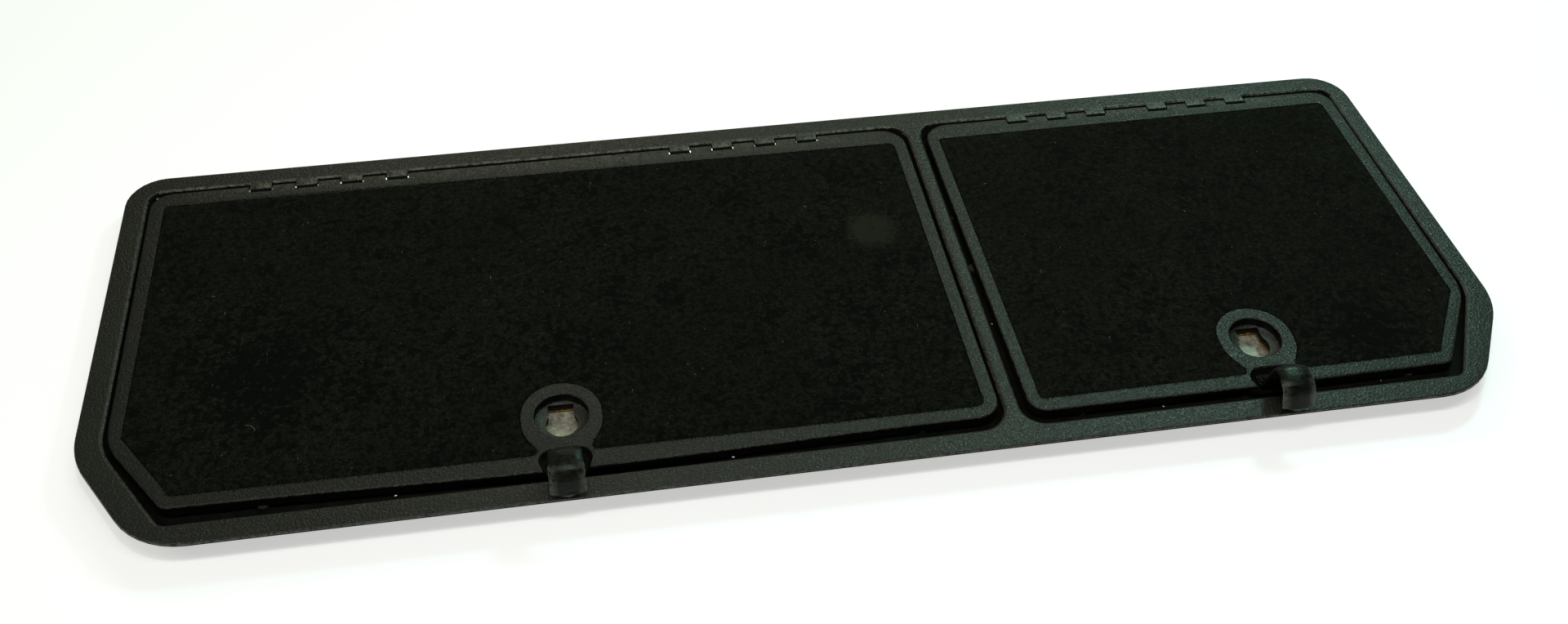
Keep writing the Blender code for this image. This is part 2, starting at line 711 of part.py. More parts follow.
def add_lid_cuts(bm, lid):
    """Boss cup and keyhole, hinge notches, screw and rivet holes."""
    bx, by = lid["boss"]
    high, low = by - CUP_LIFT, by - CUP_DROP
    cup = [(stadium(bx, high, low, CUP_R), CUP_FLOOR)]
    for inset, z in reversed(quarter_round(CUP_ROUND, 0.0)):
        cup.append((stadium(bx, high, low, CUP_R + inset), z))
    cup.append((stadium(bx, high, low, CUP_R + CUP_ROUND), PAST))
    add_loft(bm, cup)
    for x in lid["knuckles"]:
        outline = rectangle(x - 0.5 * NOTCH_WIDTH, NOTCH_Y, x + 0.5 * NOTCH_WIDTH, NOTCH_END_Y)
        notch = rounded_ring(outline, [NOTCH_CORNER] * 4, steps=2)
        add_prism(bm, notch, LID_BOTTOM - 3.0 * PAST, 3.0 * PAST)
    for x, y in rivet_places(lid):
        hole = circle(x, y, RIVET_HOLE_R, RIVET_SIDES)
        add_prism(bm, hole, PAD_BOTTOM - PAST, PAD_BOTTOM + RIVET_HOLE_DEPTH)
    for x, y in lid["screws"]:
        add_prism(bm, circle(x, y, PILOT_R, RIVET_SIDES), PILOT_BOTTOM, -CARPET_WELL - EDGE_BAND)


def add_deep_cuts(bm, lid):
    """Keyhole through the floor of the cup and the tab's screw holes in the pocket."""
    add_prism(bm, keyhole(lid["boss"]), PAD_BOTTOM - PAST, CUP_FLOOR + PAST)
    for x in tab_screws(lid):
        hole = circle(x, TAB_SCREW_Y, TAB_HOLE_R, RIVET_SIDES)
        add_prism(bm, hole, POCKET_FLOOR - TAB_PILOT_DROP, POCKET_FLOOR + PAST)


def rivet_places(lid):
    bx, by = lid["boss"]
    return [(bx + side * RIVET_X, by + along) for along in RIVET_YS for side in (-1.0, 1.0)]


def tab_screws(lid):
    return (lid["boss"][0] - TAB_SCREW_X, lid["boss"][0] + TAB_SCREW_X)


def add_pocket(bm, lid):
    """Finger pocket: a scoop with sloped walls that is open towards the front."""
    bx, by = lid["boss"]
    back = by + POCKET_BACK
    levels = []
    for z, inset in POCKET_LEVELS:
        half = POCKET_HALF - inset
        mouth = half - POCKET_MOUTH_IN
        corners = [(bx - mouth, POCKET_MOUTH_Y), (bx + mouth, POCKET_MOUTH_Y), (bx + half, POCKET_SIDE_Y),
                   (bx + half, back - inset), (bx - half, back - inset), (bx - half, POCKET_SIDE_Y)]
        corner = POCKET_CORNER - POCKET_SHRINK * max(inset, 0.0)
        radii = [MIN_RADIUS, MIN_RADIUS, POCKET_SIDE_R, corner, corner, POCKET_SIDE_R]
        levels.append((rounded_ring(corners, radii, steps=4), z))
    add_loft(bm, levels)


def make_carpet(lid, finish):
    bm = bmesh.new()
    edge = offset_path(carpet_ring(lid), -CARPET_GAP)
    low, high = add_stack(bm, [(edge, CARPET_BASE), (edge, CARPET_TOP)])
    add_fill(bm, [low])
    add_fill(bm, [high])
    make_object(lid["name"] + "_carpet", bm, finish, hinge_point(lid))


def make_panel(lid, finish):
    """Backing board inside the skirt, cut away round the pads."""
    bm = bmesh.new()
    insets = side_insets(lid, BACK_RIB + PANEL_GAP, SKIRT + PANEL_GAP)
    edge = rounded_ring(lid["corners"], lid["radii"], insets)
    low, high = add_stack(bm, [(edge, PANEL_BOTTOM), (edge, PANEL_TOP)])
    lows, highs = [low], [high]
    for x, y in lid["screws"]:
        hole = circle(x, y, PANEL_HOLE_R, RIVET_SIDES)
        under, over = add_stack(bm, [(hole, PANEL_BOTTOM), (hole, PANEL_TOP)])
        lows.append(under)
        highs.append(over)
    add_fill(bm, lows)
    add_fill(bm, highs)
    body = make_object(lid["name"] + "_backing_panel", bm, finish, hinge_point(lid))
    bx, by = lid["boss"]
    half = PAD_HALF + PANEL_PAD_GAP
    gap = rectangle(bx - half, FRONT_WALL_Y, bx + half, by + PAD_BACK + PANEL_PAD_GAP)
    combine(body, "DIFFERENCE", lambda tool: add_prism(tool, gap, PANEL_BOTTOM - PAST, PANEL_TOP + PAST))
    reshade(body)


def make_panel_screws(lid, finish):
    for number, (x, y) in enumerate(lid["screws"], 1):
        bm = bmesh.new()
        add_rivet(bm, x, y, PANEL_BOTTOM - GAP, -CARPET_WELL - PAST, PANEL_SCREW_R, PANEL_SCREW_HEAD_R, 0.0)
        make_object(f"{lid['name']}_panel_screw_{number}", bm, finish, hinge_point(lid), 40.0)


# ---------------------------------------------------------------- pull tab
def tab_path():
    """Middle line of the tab as (y, z): foot, upright leg, arch and drooping tongue."""
    path = [(42.4, -5.9), (35.2, -5.9)]
    path += [(y, z) for y, z in arc_points(35.2, -1.4, 4.5, 270.0, 186.0, 5)][1:]
    path += [(30.0, 6.0), (28.9, 13.0), (27.3, 19.0)]
    path += [(25.9, 22.4), (23.9, 24.6), (21.0, 25.7), (17.0, 25.9), (12.5, 25.7), (8.6, 24.9)]
    path += [(5.4, 23.4), (2.9, 21.2), (0.9, 18.2), (-0.7, 14.6), (-2.4, 10.6), (-3.4, 8.2), (-4.45, 5.9)]
    return path


def path_sides(path, thick):
    """Lines beside a middle line, half a thickness to each side."""
    upper, lower = [], []
    last = len(path) - 1
    for i, (y, z) in enumerate(path):
        before = Vector(path[max(i - 1, 0)])
        after = Vector(path[min(i + 1, last)])
        ahead = (after - before).normalized()
        side = Vector((ahead.y, -ahead.x)) * (0.5 * thick)
        upper.append((y + side.x, z + side.y))
        lower.append((y - side.x, z - side.y))
    return upper, lower


def tab_section(half, upper, lower, up_in, low_in):
    """Cross-section of the tab with bevelled edges, as (x, (y, z))."""
    flat = half - TAB_BEVEL
    return [(-flat, upper), (0.0, upper), (flat, upper), (half, up_in), (half, low_in),
            (flat, lower), (0.0, lower), (-flat, lower), (-half, low_in), (-half, up_in)]


def make_tab(lid, finish):
    """Strap with a slight waist over its arch; the free end is drawn out to a shallow point."""
    bx = lid["boss"][0]
    path = tab_path()
    upper, lower = path_sides(path, TAB_THICK)
    up_in, low_in = path_sides(path, TAB_THICK - 2.0 * TAB_BEVEL)
    last = len(path) - 1
    along = (Vector(path[last]) - Vector(path[last - 1])).normalized()
    bm = bmesh.new()
    rows = []
    for i in range(len(path)):
        half = TAB_HALF - (TAB_WAIST if 6 <= i <= 14 else 0.0)
        row = []
        for x, (y, z) in tab_section(half, upper[i], lower[i], up_in[i], low_in[i]):
            back = along * (TAB_POINT * abs(x) / half if i == last else 0.0)
            row.append(bm.verts.new(place(bx + x, y - back.x, z - back.y)))
        rows.append(row)
    for first, second in zip(rows, rows[1:]):
        add_band(bm, first, second)
    bm.faces.new(rows[0])
    bm.faces.new(list(reversed(rows[-1])))
    body = make_object(lid["name"] + "_pull_tab", bm, finish, hinge_point(lid), 40.0)
    combine(body, "DIFFERENCE", lambda tool: add_tab_cuts(tool, lid))
    reshade(body, 40.0)


def add_tab_cuts(bm, lid):
    for x in tab_screws(lid):
        hole = circle(x, TAB_SCREW_Y, TAB_HOLE_R, RIVET_SIDES)
        add_prism(bm, hole, POCKET_FLOOR - PAST, CLAMP_TOP)


def make_tab_clamp(lid, finish):
    """Steel bar that holds the foot of the tab down, with holes for its screws."""
    bx = lid["boss"][0]
    half = TAB_HALF - CLAMP_SIDE_GAP
    low_y, high_y = TAB_SCREW_Y - CLAMP_HALF_DEPTH, TAB_SCREW_Y + CLAMP_HALF_DEPTH
    outline = rectangle(bx - half, low_y, bx + half, high_y)
    bar = rounded_ring(outline, [1.0] * 4, steps=2)
    bm = bmesh.new()
    low, high = add_stack(bm, [(bar, CLAMP_BOTTOM), (bar, CLAMP_TOP)])
    lows, highs = [low], [high]
    for x in tab_screws(lid):
        hole = circle(x, TAB_SCREW_Y, TAB_HOLE_R, RIVET_SIDES)
        under, over = add_stack(bm, [(hole, CLAMP_BOTTOM), (hole, CLAMP_TOP)])
        lows.append(under)
        highs.append(over)
    add_fill(bm, lows)
    add_fill(bm, highs)
    make_object(lid["name"] + "_tab_clamp", bm, finish, hinge_point(lid))


def make_tab_screws(lid, finish):
    """Screws with domed heads on the clamp."""
    for number, x in enumerate(tab_screws(lid), 1):
        seat = CLAMP_TOP + GAP
        levels = [(TAB_SCREW_R, POCKET_FLOOR - TAB_SCREW_TIP_DROP), (TAB_SCREW_R, seat),
                  (TAB_HEAD_R, seat), (TAB_HEAD_R, seat + 0.5 * TAB_HEAD_HEIGHT),
                  (TAB_HEAD_TOP_R, seat + TAB_HEAD_HEIGHT)]
        bm = bmesh.new()
        add_loft(bm, [(circle(x, TAB_SCREW_Y, radius, RIVET_SIDES), z) for radius, z in levels])
        make_object(f"{lid['name']}_tab_screw_{number}", bm, finish, hinge_point(lid), 40.0)


# ---------------------------------------------------------------- lock collar, housing and bolt
def make_collar(lid, finish):
    """Plate under the boss with a drawn keyhole collar, open right through."""
    bx, by = lid["boss"]
    bm = bmesh.new()
    plate_low = COLLAR_TOP - COLLAR_PLATE
    outline = rectangle(bx - EAR_HALF, by + COLLAR_FRONT, bx + EAR_HALF, by + HOUSING_BACK)
    plate = rounded_ring(outline, [COLLAR_CORNER] * 4, steps=3)
    bore = keyhole(lid["boss"], COLLAR_CLEAR)
    tube = keyhole(lid["boss"], COLLAR_CLEAR + COLLAR_WALL)
    rim, root = add_stack(bm, [(plate, COLLAR_TOP), (plate, plate_low)])
    mouth, inner = add_stack(bm, [(bore, COLLAR_TOP), (bore, COLLAR_BOTTOM)])
    foot, outer = add_stack(bm, [(tube, plate_low), (tube, COLLAR_BOTTOM)])
    highs, lows = [rim, mouth], [root, foot]
    for x, y in rivet_places(lid):
        hole = circle(x, y, RIVET_HOLE_R, RIVET_SIDES)
        over, under = add_stack(bm, [(hole, COLLAR_TOP), (hole, plate_low)])
        highs.append(over)
        lows.append(under)
    add_fill(bm, highs)
    add_fill(bm, lows)
    add_fill(bm, [inner, outer])
    make_object(lid["name"] + "_lock_collar", bm, finish, hinge_point(lid), 40.0)


def make_housing(lid, finish):
    """Hat-section tray that carries the bolt, closed at its back end."""
    bx, by = lid["boss"]
    ear_low = EAR_TOP - EAR_THICK
    outer = TROUGH_HALF + HOUSING_WALL
    back = by + HOUSING_BACK
    section = [(-EAR_HALF, EAR_TOP), (-EAR_HALF, ear_low), (-outer, ear_low), (-outer, TROUGH_BOTTOM),
               (outer, TROUGH_BOTTOM), (outer, ear_low), (EAR_HALF, ear_low), (EAR_HALF, EAR_TOP),
               (TROUGH_HALF, EAR_TOP), (TROUGH_HALF, TROUGH_FLOOR), (-TROUGH_HALF, TROUGH_FLOOR),
               (-TROUGH_HALF, EAR_TOP)]
    bm = bmesh.new()
    near = [bm.verts.new(place(bx + x, HOUSING_FRONT, z)) for x, z in section]
    far = [bm.verts.new(place(bx + x, back, z)) for x, z in section]
    add_band(bm, near, far)
    bm.faces.new(near)
    bm.faces.new(list(reversed(far)))
    body = make_object(lid["name"] + "_bolt_housing", bm, finish, hinge_point(lid))
    stop = rectangle(bx - TROUGH_HALF - 0.5, back - 1.4, bx + TROUGH_HALF + 0.5, back - 0.1)
    combine(body, "UNION", lambda tool: add_prism(tool, stop, TROUGH_FLOOR - 0.5, EAR_TOP - 0.1))
    combine(body, "DIFFERENCE", lambda tool: add_housing_holes(tool, lid))
    reshade(body)


def add_housing_holes(bm, lid):
    for x, y in rivet_places(lid):
        hole = circle(x, y, RIVET_HOLE_R, RIVET_SIDES)
        add_prism(bm, hole, EAR_TOP - EAR_THICK - PAST, EAR_TOP + PAST)


def make_housing_rivets(lid, finish):
    for number, (x, y) in enumerate(rivet_places(lid), 1):
        bm = bmesh.new()
        tip = PAD_BOTTOM + RIVET_HOLE_DEPTH - GAP
        add_rivet(bm, x, y, EAR_TOP - EAR_THICK - GAP, tip, RIVET_R, RIVET_HEAD_R, 0.0)
        make_object(f"{lid['name']}_housing_rivet_{number}", bm, finish, hinge_point(lid), 40.0)


def make_bolt(lid, finish):
    """Flat bolt, withdrawn, with a bevelled nose and an upturned stop at its back end."""
    bx, by = lid["boss"]
    rear = by + BOLT_REAR
    corners = [(bx - BOLT_NOSE_HALF, BOLT_TIP_Y), (bx + BOLT_NOSE_HALF, BOLT_TIP_Y),
               (bx + BOLT_HALF, BOLT_SHOULDER_Y), (bx + BOLT_HALF, rear),
               (bx - BOLT_HALF, rear), (bx - BOLT_HALF, BOLT_SHOULDER_Y)]
    outline = rounded_ring(corners, [1.0, 1.0, 2.0, 1.0, 1.0, 2.0], steps=3)
    tip = [(x, y + BOLT_BEVEL if y < BOLT_TIP_Y + 1.0 else y) for x, y in outline]
    bm = bmesh.new()
    add_loft(bm, [(tip, BOLT_BOTTOM), (outline, BOLT_BOTTOM + 1.0), (outline, BOLT_TOP)])
    body = make_object(lid["name"] + "_lock_bolt", bm, finish, (bx, by, BOLT_TOP), 40.0)
    half = BOLT_HALF - 1.0
    stop = rectangle(bx - half, rear - BOLT_STOP - 0.1, bx + half, rear - 0.1)
    combine(body, "UNION", lambda tool: add_prism(tool, stop, BOLT_TOP - PAST, BOLT_TOP + BOLT_STOP_HEIGHT))
    reshade(body, 40.0)


# ---------------------------------------------------------------- assembly
def main():
    for old in list(bpy.data.objects):
        bpy.data.objects.remove(old)
    plastic = make_finish("black_moulded_plastic", (0.032, 0.034, 0.029), 0.55)
    lid_plastic = make_finish("lid_moulded_plastic", (0.030, 0.032, 0.027), 0.55)
    carpet = make_finish("black_carpet", (0.006, 0.0065, 0.006), 0.95)
    tab = make_finish("dark_vinyl", (0.028, 0.026, 0.022), 0.32)
    steel = make_finish("bright_steel", (0.62, 0.62, 0.60), 0.28, 1.0)
    zinc = make_finish("zinc_plate", (0.58, 0.57, 0.52), 0.42, 1.0)
    yellow = make_finish("yellow_zinc", (0.62, 0.40, 0.10), 0.38, 1.0)
    black = make_finish("black_steel", (0.010, 0.010, 0.009), 0.5, 0.4)
    rubber = make_finish("black_rubber", (0.012, 0.012, 0.012), 0.85)
    board = make_finish("grey_fibreboard", (0.055, 0.052, 0.046), 0.9)
    make_frame(plastic)
    make_bumpers(rubber)
    for lid in (LARGE, SMALL):
        make_rod(lid, steel)
        make_keeper(lid, zinc)
        make_keeper_rivets(lid, black)
        make_lid(lid, lid_plastic)
        make_carpet(lid, carpet)
        make_panel(lid, board)
        make_panel_screws(lid, zinc)
        make_tab(lid, tab)
        make_tab_clamp(lid, black)
        make_tab_screws(lid, black)
        make_collar(lid, yellow)
        make_housing(lid, zinc)
        make_housing_rivets(lid, steel)
        make_bolt(lid, zinc)


main()
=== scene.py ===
import json
import math
import random

import bmesh
import bpy
import numpy as np
from mathutils import Matrix, Vector, geometry, noise

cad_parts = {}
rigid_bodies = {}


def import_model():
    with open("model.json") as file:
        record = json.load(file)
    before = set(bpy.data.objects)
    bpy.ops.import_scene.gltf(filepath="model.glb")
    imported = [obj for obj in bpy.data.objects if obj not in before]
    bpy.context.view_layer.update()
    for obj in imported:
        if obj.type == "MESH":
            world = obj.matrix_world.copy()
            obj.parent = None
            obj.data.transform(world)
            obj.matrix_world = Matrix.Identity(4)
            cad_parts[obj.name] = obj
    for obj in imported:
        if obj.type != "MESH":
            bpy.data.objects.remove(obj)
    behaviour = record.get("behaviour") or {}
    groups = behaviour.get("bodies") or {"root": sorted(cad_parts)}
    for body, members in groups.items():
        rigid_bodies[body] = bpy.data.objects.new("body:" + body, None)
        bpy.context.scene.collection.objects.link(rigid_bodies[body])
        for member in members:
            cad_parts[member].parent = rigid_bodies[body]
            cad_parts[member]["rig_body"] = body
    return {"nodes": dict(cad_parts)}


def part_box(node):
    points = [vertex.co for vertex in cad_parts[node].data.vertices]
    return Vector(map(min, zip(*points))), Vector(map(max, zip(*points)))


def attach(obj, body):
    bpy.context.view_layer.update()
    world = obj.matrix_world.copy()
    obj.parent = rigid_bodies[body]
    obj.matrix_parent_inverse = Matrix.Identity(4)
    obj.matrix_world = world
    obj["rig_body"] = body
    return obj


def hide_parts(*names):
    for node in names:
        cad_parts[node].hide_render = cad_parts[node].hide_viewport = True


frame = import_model()
bpy.context.view_layer.update()

NODES = frame["nodes"]
MM = 0.001
LIDS = ("large", "small")
SEED = {"large": 11, "small": 23}

# Height that the frame gives, and what counts as a face that looks up
FLANGE_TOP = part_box("frame_moulding")[1].z
FACES_UP = 0.9


# ---------------------------------------------------------------- node helpers
class Paint:
    """A material's node tree, with short ways to add and join nodes."""

    def __init__(self, name, colour, roughness, metallic=0.0):
        self.material = bpy.data.materials.new(name)
        self.material.use_nodes = True
        self.tree = self.material.node_tree
        self.shader = self.tree.nodes["Principled BSDF"]
        self.shader.inputs["Base Color"].default_value = (*colour, 1.0)
        self.shader.inputs["Roughness"].default_value = roughness
        self.shader.inputs["Metallic"].default_value = metallic
        self.place = self.add("ShaderNodeTexCoord").outputs["Object"]

    def add(self, kind, **inputs):
        node = self.tree.nodes.new(kind)
        for name, value in inputs.items():
            self.feed(node.inputs[name.replace("_", " ")], value)
        return node

    def feed(self, socket, value):
        if isinstance(value, bpy.types.NodeSocket):
            self.tree.links.new(value, socket)
        else:
            socket.default_value = value

    def set(self, name, value):
        self.feed(self.shader.inputs[name], value)

    def noise(self, scale, detail=3.0, roughness=0.55, stretch=None, distortion=0.0):
        vector = self.place
        if stretch:
            mapping = self.add("ShaderNodeMapping", Vector=self.place)
            mapping.inputs["Scale"].default_value = stretch
            vector = mapping.outputs["Vector"]
        node = self.add("ShaderNodeTexNoise", Vector=vector, Scale=scale, Detail=detail,
                        Roughness=roughness, Distortion=distortion)
        return node.outputs["Fac"]

    def cells(self, scale, randomness=1.0):
        node = self.add("ShaderNodeTexVoronoi", Vector=self.place, Scale=scale, Randomness=randomness)
        return node.outputs["Distance"]

    def remap(self, value, low, high, out_low=0.0, out_high=1.0):
        node = self.add("ShaderNodeMapRange", Value=value)
        node.clamp = True
        limits = {"From Min": low, "From Max": high, "To Min": out_low, "To Max": out_high}
        for name, number in limits.items():
            node.inputs[name].default_value = number
        return node.outputs["Result"]

    def maths(self, operation, a, b):
        node = self.tree.nodes.new("ShaderNodeMath")
        node.operation = operation
        self.feed(node.inputs[0], a)
        self.feed(node.inputs[1], b)
        return node.outputs[0]

    def mix(self, share, a, b):
        node = self.tree.nodes.new("ShaderNodeMix")
        node.data_type = "RGBA"
        self.feed(node.inputs[0], share)
        self.feed(node.inputs[6], (*a, 1.0) if isinstance(a, tuple) else a)
        self.feed(node.inputs[7], (*b, 1.0) if isinstance(b, tuple) else b)
        return node.outputs[2]

    def bump(self, height, strength, distance, under=None):
        node = self.add("ShaderNodeBump", Height=height, Strength=strength, Distance=distance)
        if under is not None:
            self.feed(node.inputs["Normal"], under)
        return node.outputs["Normal"]

    def spot(self, centre, radius, soft):
        """1 inside a sphere, fading to 0 over a soft rim."""
        shifted = self.tree.nodes.new("ShaderNodeVectorMath")
        shifted.operation = "DISTANCE"
        self.feed(shifted.inputs[0], self.place)
        shifted.inputs[1].default_value = centre
        return self.remap(shifted.outputs["Value"], radius, radius + soft, 1.0, 0.0)

    def height(self):
        """Height above the base, in metres."""
        return self.add("ShaderNodeSeparateXYZ", Vector=self.place).outputs["Z"]

    def attribute(self, name):
        node = self.add("ShaderNodeAttribute")
        node.attribute_name = name
        return node.outputs["Fac"]


# Texture sizes of the plastics, in features per metre
CLOUD_SCALE = 9.0
GRIT_SCALE = 560.0
DUST_SCALE = 520.0
SPECK_SCALE = 420.0
PEBBLE_SCALE = 640.0
SCUFF_SCALE = 70.0
RIPPLE_SCALE = 46.0
# How far each layer takes the plastic towards its worn colour
GRIT_SHARE = 0.14
DUST_SHARE = 0.12
SPECK_SHARE = 0.6
SCUFF_SHARE = 0.35
# the edge layer is wear and also a painted highlight along rounded edges
WEAR_AND_HIGHLIGHT_SHARE = 0.9
SETTLED_SHARE = 0.30
# Dust settles between these heights and below: the floors of the lock cups
SETTLED_FROM = FLANGE_TOP - 5.0 * MM
SETTLED_FULLY = FLANGE_TOP - 6.0 * MM


def shaded(colour, factor):
    return tuple(factor * channel for channel in colour)


def moulded_plastic(name, colour, worn, rough, shine_level):
    """Black moulding: pebble grain, cloudy sheen, dust in the grain, fine scuffs, and lighter edges that are
    partly wear and partly painted highlight.
    """
    paint = Paint(name, colour, rough)
    cloud = paint.noise(CLOUD_SCALE, 4.0, 0.6)
    grit = paint.noise(GRIT_SCALE, 2.0, 0.62)
    dust = paint.remap(paint.noise(DUST_SCALE, 2.0, 0.5), 0.58, 0.72)
    speck = paint.remap(paint.cells(SPECK_SCALE), 0.12, 0.03)
    speck = paint.maths("MULTIPLY", speck, paint.remap(paint.noise(60.0, 2.0), 0.50, 0.66))
    scuff = paint.remap(paint.noise(SCUFF_SCALE, 5.0, 0.65, (1.0, 9.0, 1.0), 0.6), 0.60, 0.72)
    scuff = paint.maths("MULTIPLY", scuff, paint.remap(paint.noise(14.0, 2.0), 0.45, 0.65))
    broken = paint.remap(paint.noise(300.0, 4.0, 0.7), 0.40, 0.58)
    wear_and_highlight = paint.maths("MULTIPLY", paint.attribute("wear_and_highlight"), broken)
    base = paint.mix(paint.remap(cloud, 0.3, 0.7), shaded(colour, 0.8), shaded(colour, 1.2))
    # the last layer lightens edges: wear, and a painted highlight along rounds and at the hinge
    layers = ((paint.remap(grit, 0.48, 0.66), GRIT_SHARE, worn), (dust, DUST_SHARE, worn),
              (speck, SPECK_SHARE, worn), (scuff, SCUFF_SHARE, worn), (wear_and_highlight, WEAR_AND_HIGHLIGHT_SHARE, shaded(worn, 1.9)))
    for layer, share, tone in layers:
        base = paint.mix(paint.maths("MULTIPLY", layer, share), base, tone)
    settled = paint.remap(paint.height(), SETTLED_FULLY, SETTLED_FROM, SETTLED_SHARE, 0.0)
    paint.set("Base Color", paint.mix(settled, base, worn))
    shine = paint.remap(cloud, 0.25, 0.75, rough - 0.05, rough + 0.06)
    shine = paint.maths("ADD", shine, paint.remap(grit, 0.32, 0.68, 0.17, -0.15))
    shine = paint.maths("ADD", shine, paint.maths("MULTIPLY", scuff, 0.10))
    paint.set("Roughness", paint.maths("SUBTRACT", shine, paint.maths("MULTIPLY", wear_and_highlight, 0.16)))
    grain = paint.bump(grit, 0.95, 0.0006)
    pebble = paint.bump(paint.cells(PEBBLE_SCALE), 0.45, 0.00035, grain)
    paint.set("Normal", paint.bump(paint.noise(RIPPLE_SCALE, 2.0), 0.10, 0.0006, pebble))
    paint.set("Specular IOR Level", shine_level)
    return paint.material


def painted_shade_plastic(name):
    """The moulding darkened as painted shade, for faces in the channels, between the knuckles and on the
    lids' back edges at the hinge: dull, with random grime.
    """
    paint = Paint(name, (0.0035, 0.0037, 0.0030), 0.8)
    grime = paint.remap(paint.noise(90.0, 4.0, 0.65), 0.35, 0.70)
    paint.set("Base Color", paint.mix(grime, (0.0026, 0.0028, 0.0023), (0.0080, 0.0078, 0.0060)))
    paint.set("Roughness", paint.remap(grime, 0.0, 1.0, 0.68, 0.9))
    paint.set("Normal", paint.bump(paint.noise(900.0, 2.0), 0.4, 0.0003))
    paint.set("Specular IOR Level", 0.10)
    return paint.material


# Texture sizes of the carpet, in features per metre
CLUMP_SCALE = 300.0
FINE_SCALE = 800.0
PIT_SCALE = 170.0
PIT_EDGE = 0.40
PIT_DEEPER = 0.18
SMUDGE_SHARE = 0.75


def carpet_pile(name, colour, light, marks, smudge):
    """Needle-punched pile: matted clumps, black pits, worn marks that are pitted deeper and a pale smudge."""
    paint = Paint(name, colour, 0.95)
    clumps = paint.noise(CLUMP_SCALE, 4.0, 0.80)
    fine = paint.noise(FINE_SCALE, 3.0, 0.7)
    bloom = paint.noise(11.0, 4.0, 0.6)
    deep = paint.remap(paint.noise(26.0, 3.0, 0.6), 0.48, 0.64, 0.0, 0.6)
    for centre, radius, soft in marks:
        deep = paint.maths("MAXIMUM", deep, paint.spot(centre, radius, soft))
    edge = paint.maths("ADD", PIT_EDGE, paint.maths("MULTIPLY", deep, PIT_DEEPER))
    pits = paint.remap(paint.maths("SUBTRACT", paint.noise(PIT_SCALE, 3.0, 0.7), edge), -0.02, 0.03)
    tufts = paint.remap(clumps, 0.42, 0.62, 0.10, 1.15)
    shade = paint.maths("MULTIPLY", tufts, paint.remap(fine, 0.38, 0.66, 0.25, 1.25))
    shade = paint.maths("MULTIPLY", shade, paint.remap(bloom, 0.3, 0.7, 0.55, 1.0))
    shade = paint.maths("MULTIPLY", shade, paint.remap(pits, 0.0, 1.0, 0.03, 1.0))
    centre, radius, soft = smudge
    shade = paint.maths("ADD", shade, paint.maths("MULTIPLY", paint.spot(centre, radius, soft), SMUDGE_SHARE))
    paint.set("Base Color", paint.mix(shade, colour, light))
    rough = paint.bump(clumps, 0.9, 0.0011)
    paint.set("Normal", paint.bump(fine, 0.7, 0.0006, rough))
    paint.set("Sheen Weight", 0.03)
    paint.set("Sheen Roughness", 0.55)
    paint.set("Sheen Tint", (0.80, 0.88, 0.62, 1.0))
    paint.set("Specular IOR Level", 0.10)
    return paint.material


def strap_vinyl(name):
    """Dark brown strap: rubbed skin with uneven gloss, fine wrinkles and pale edges that are partly rubbed
    and partly painted highlight.
    """
    paint = Paint(name, (0.009, 0.0085, 0.007), 0.42)
    patch = paint.noise(150.0, 5.0, 0.66)
    wrinkle = paint.noise(300.0, 4.0, 0.6, (0.45, 1.0, 1.0), 0.8)
    # pale edge mask: rubbed edges and a painted edge highlight
    edge = paint.maths("MULTIPLY", paint.attribute("wear_and_highlight"), paint.remap(paint.noise(420.0, 3.0), 0.34, 0.56))
    base = paint.mix(paint.remap(patch, 0.35, 0.68), (0.0040, 0.0042, 0.0034), (0.0105, 0.0108, 0.0086))
    base = paint.mix(paint.maths("MULTIPLY", edge, 0.9), base, (0.13, 0.13, 0.11))
    paint.set("Base Color", base)
    paint.set("Roughness", paint.remap(patch, 0.36, 0.66, 0.24, 0.50))
    fine = paint.bump(paint.noise(1100.0, 2.0), 0.35, 0.0002)
    paint.set("Normal", paint.bump(wrinkle, 0.45, 0.0006, fine))
    paint.set("Specular IOR Level", 0.19)
    paint.set("Specular Tint", (0.84, 1.0, 0.84, 1.0))
    return paint.material


def worn_plate(name):
    """Dull zinc on the bolt: mottled grey-beige with a few dark scratches."""
    paint = Paint(name, (0.30, 0.29, 0.24), 0.55, 0.25)
    cloud = paint.noise(190.0, 5.0, 0.68)
    scratch = paint.remap(paint.noise(240.0, 3.0, 0.6, (3.0, 0.5, 1.0), 0.7), 0.66, 0.74)
    base = paint.mix(paint.remap(cloud, 0.38, 0.62), (0.22, 0.21, 0.155), (0.56, 0.55, 0.43))
    paint.set("Base Color", paint.mix(paint.maths("MULTIPLY", scratch, 0.8), base, (0.03, 0.028, 0.022)))
    paint.set("Roughness", paint.remap(cloud, 0.3, 0.7, 0.42, 0.66))
    paint.set("Normal", paint.bump(cloud, 0.25, 0.0004))
    return paint.material


# Height above which the collar's plating is made dark, and how far that border wanders
COLLAR_DARK_FROM = 7.3 * MM
COLLAR_DARK_FULLY = 8.1 * MM
COLLAR_DARK_WANDERS = 1.3 * MM


def collar_zinc(name):
    """Yellow zinc that shows only at the foot of the collar; above that the colour is darker."""
    paint = Paint(name, (0.62, 0.36, 0.09), 0.38, 0.8)
    cloud = paint.noise(260.0, 5.0, 0.68)
    wander = paint.remap(cloud, 0.30, 0.70, -COLLAR_DARK_WANDERS, COLLAR_DARK_WANDERS)
    # this mask only makes the collar darker above a wandering height
    grime = paint.remap(paint.maths("ADD", paint.height(), wander), COLLAR_DARK_FROM, COLLAR_DARK_FULLY)
    base = paint.mix(paint.remap(cloud, 0.35, 0.65), (0.70, 0.40, 0.10), (0.42, 0.22, 0.05))
    paint.set("Base Color", paint.mix(grime, base, (0.020, 0.018, 0.010)))
    paint.set("Metallic", paint.remap(grime, 0.0, 1.0, 0.8, 0.1))
    paint.set("Roughness", paint.remap(grime, 0.0, 1.0, 0.36, 0.75))
    paint.set("Normal", paint.bump(cloud, 0.25, 0.0003))
    return paint.material


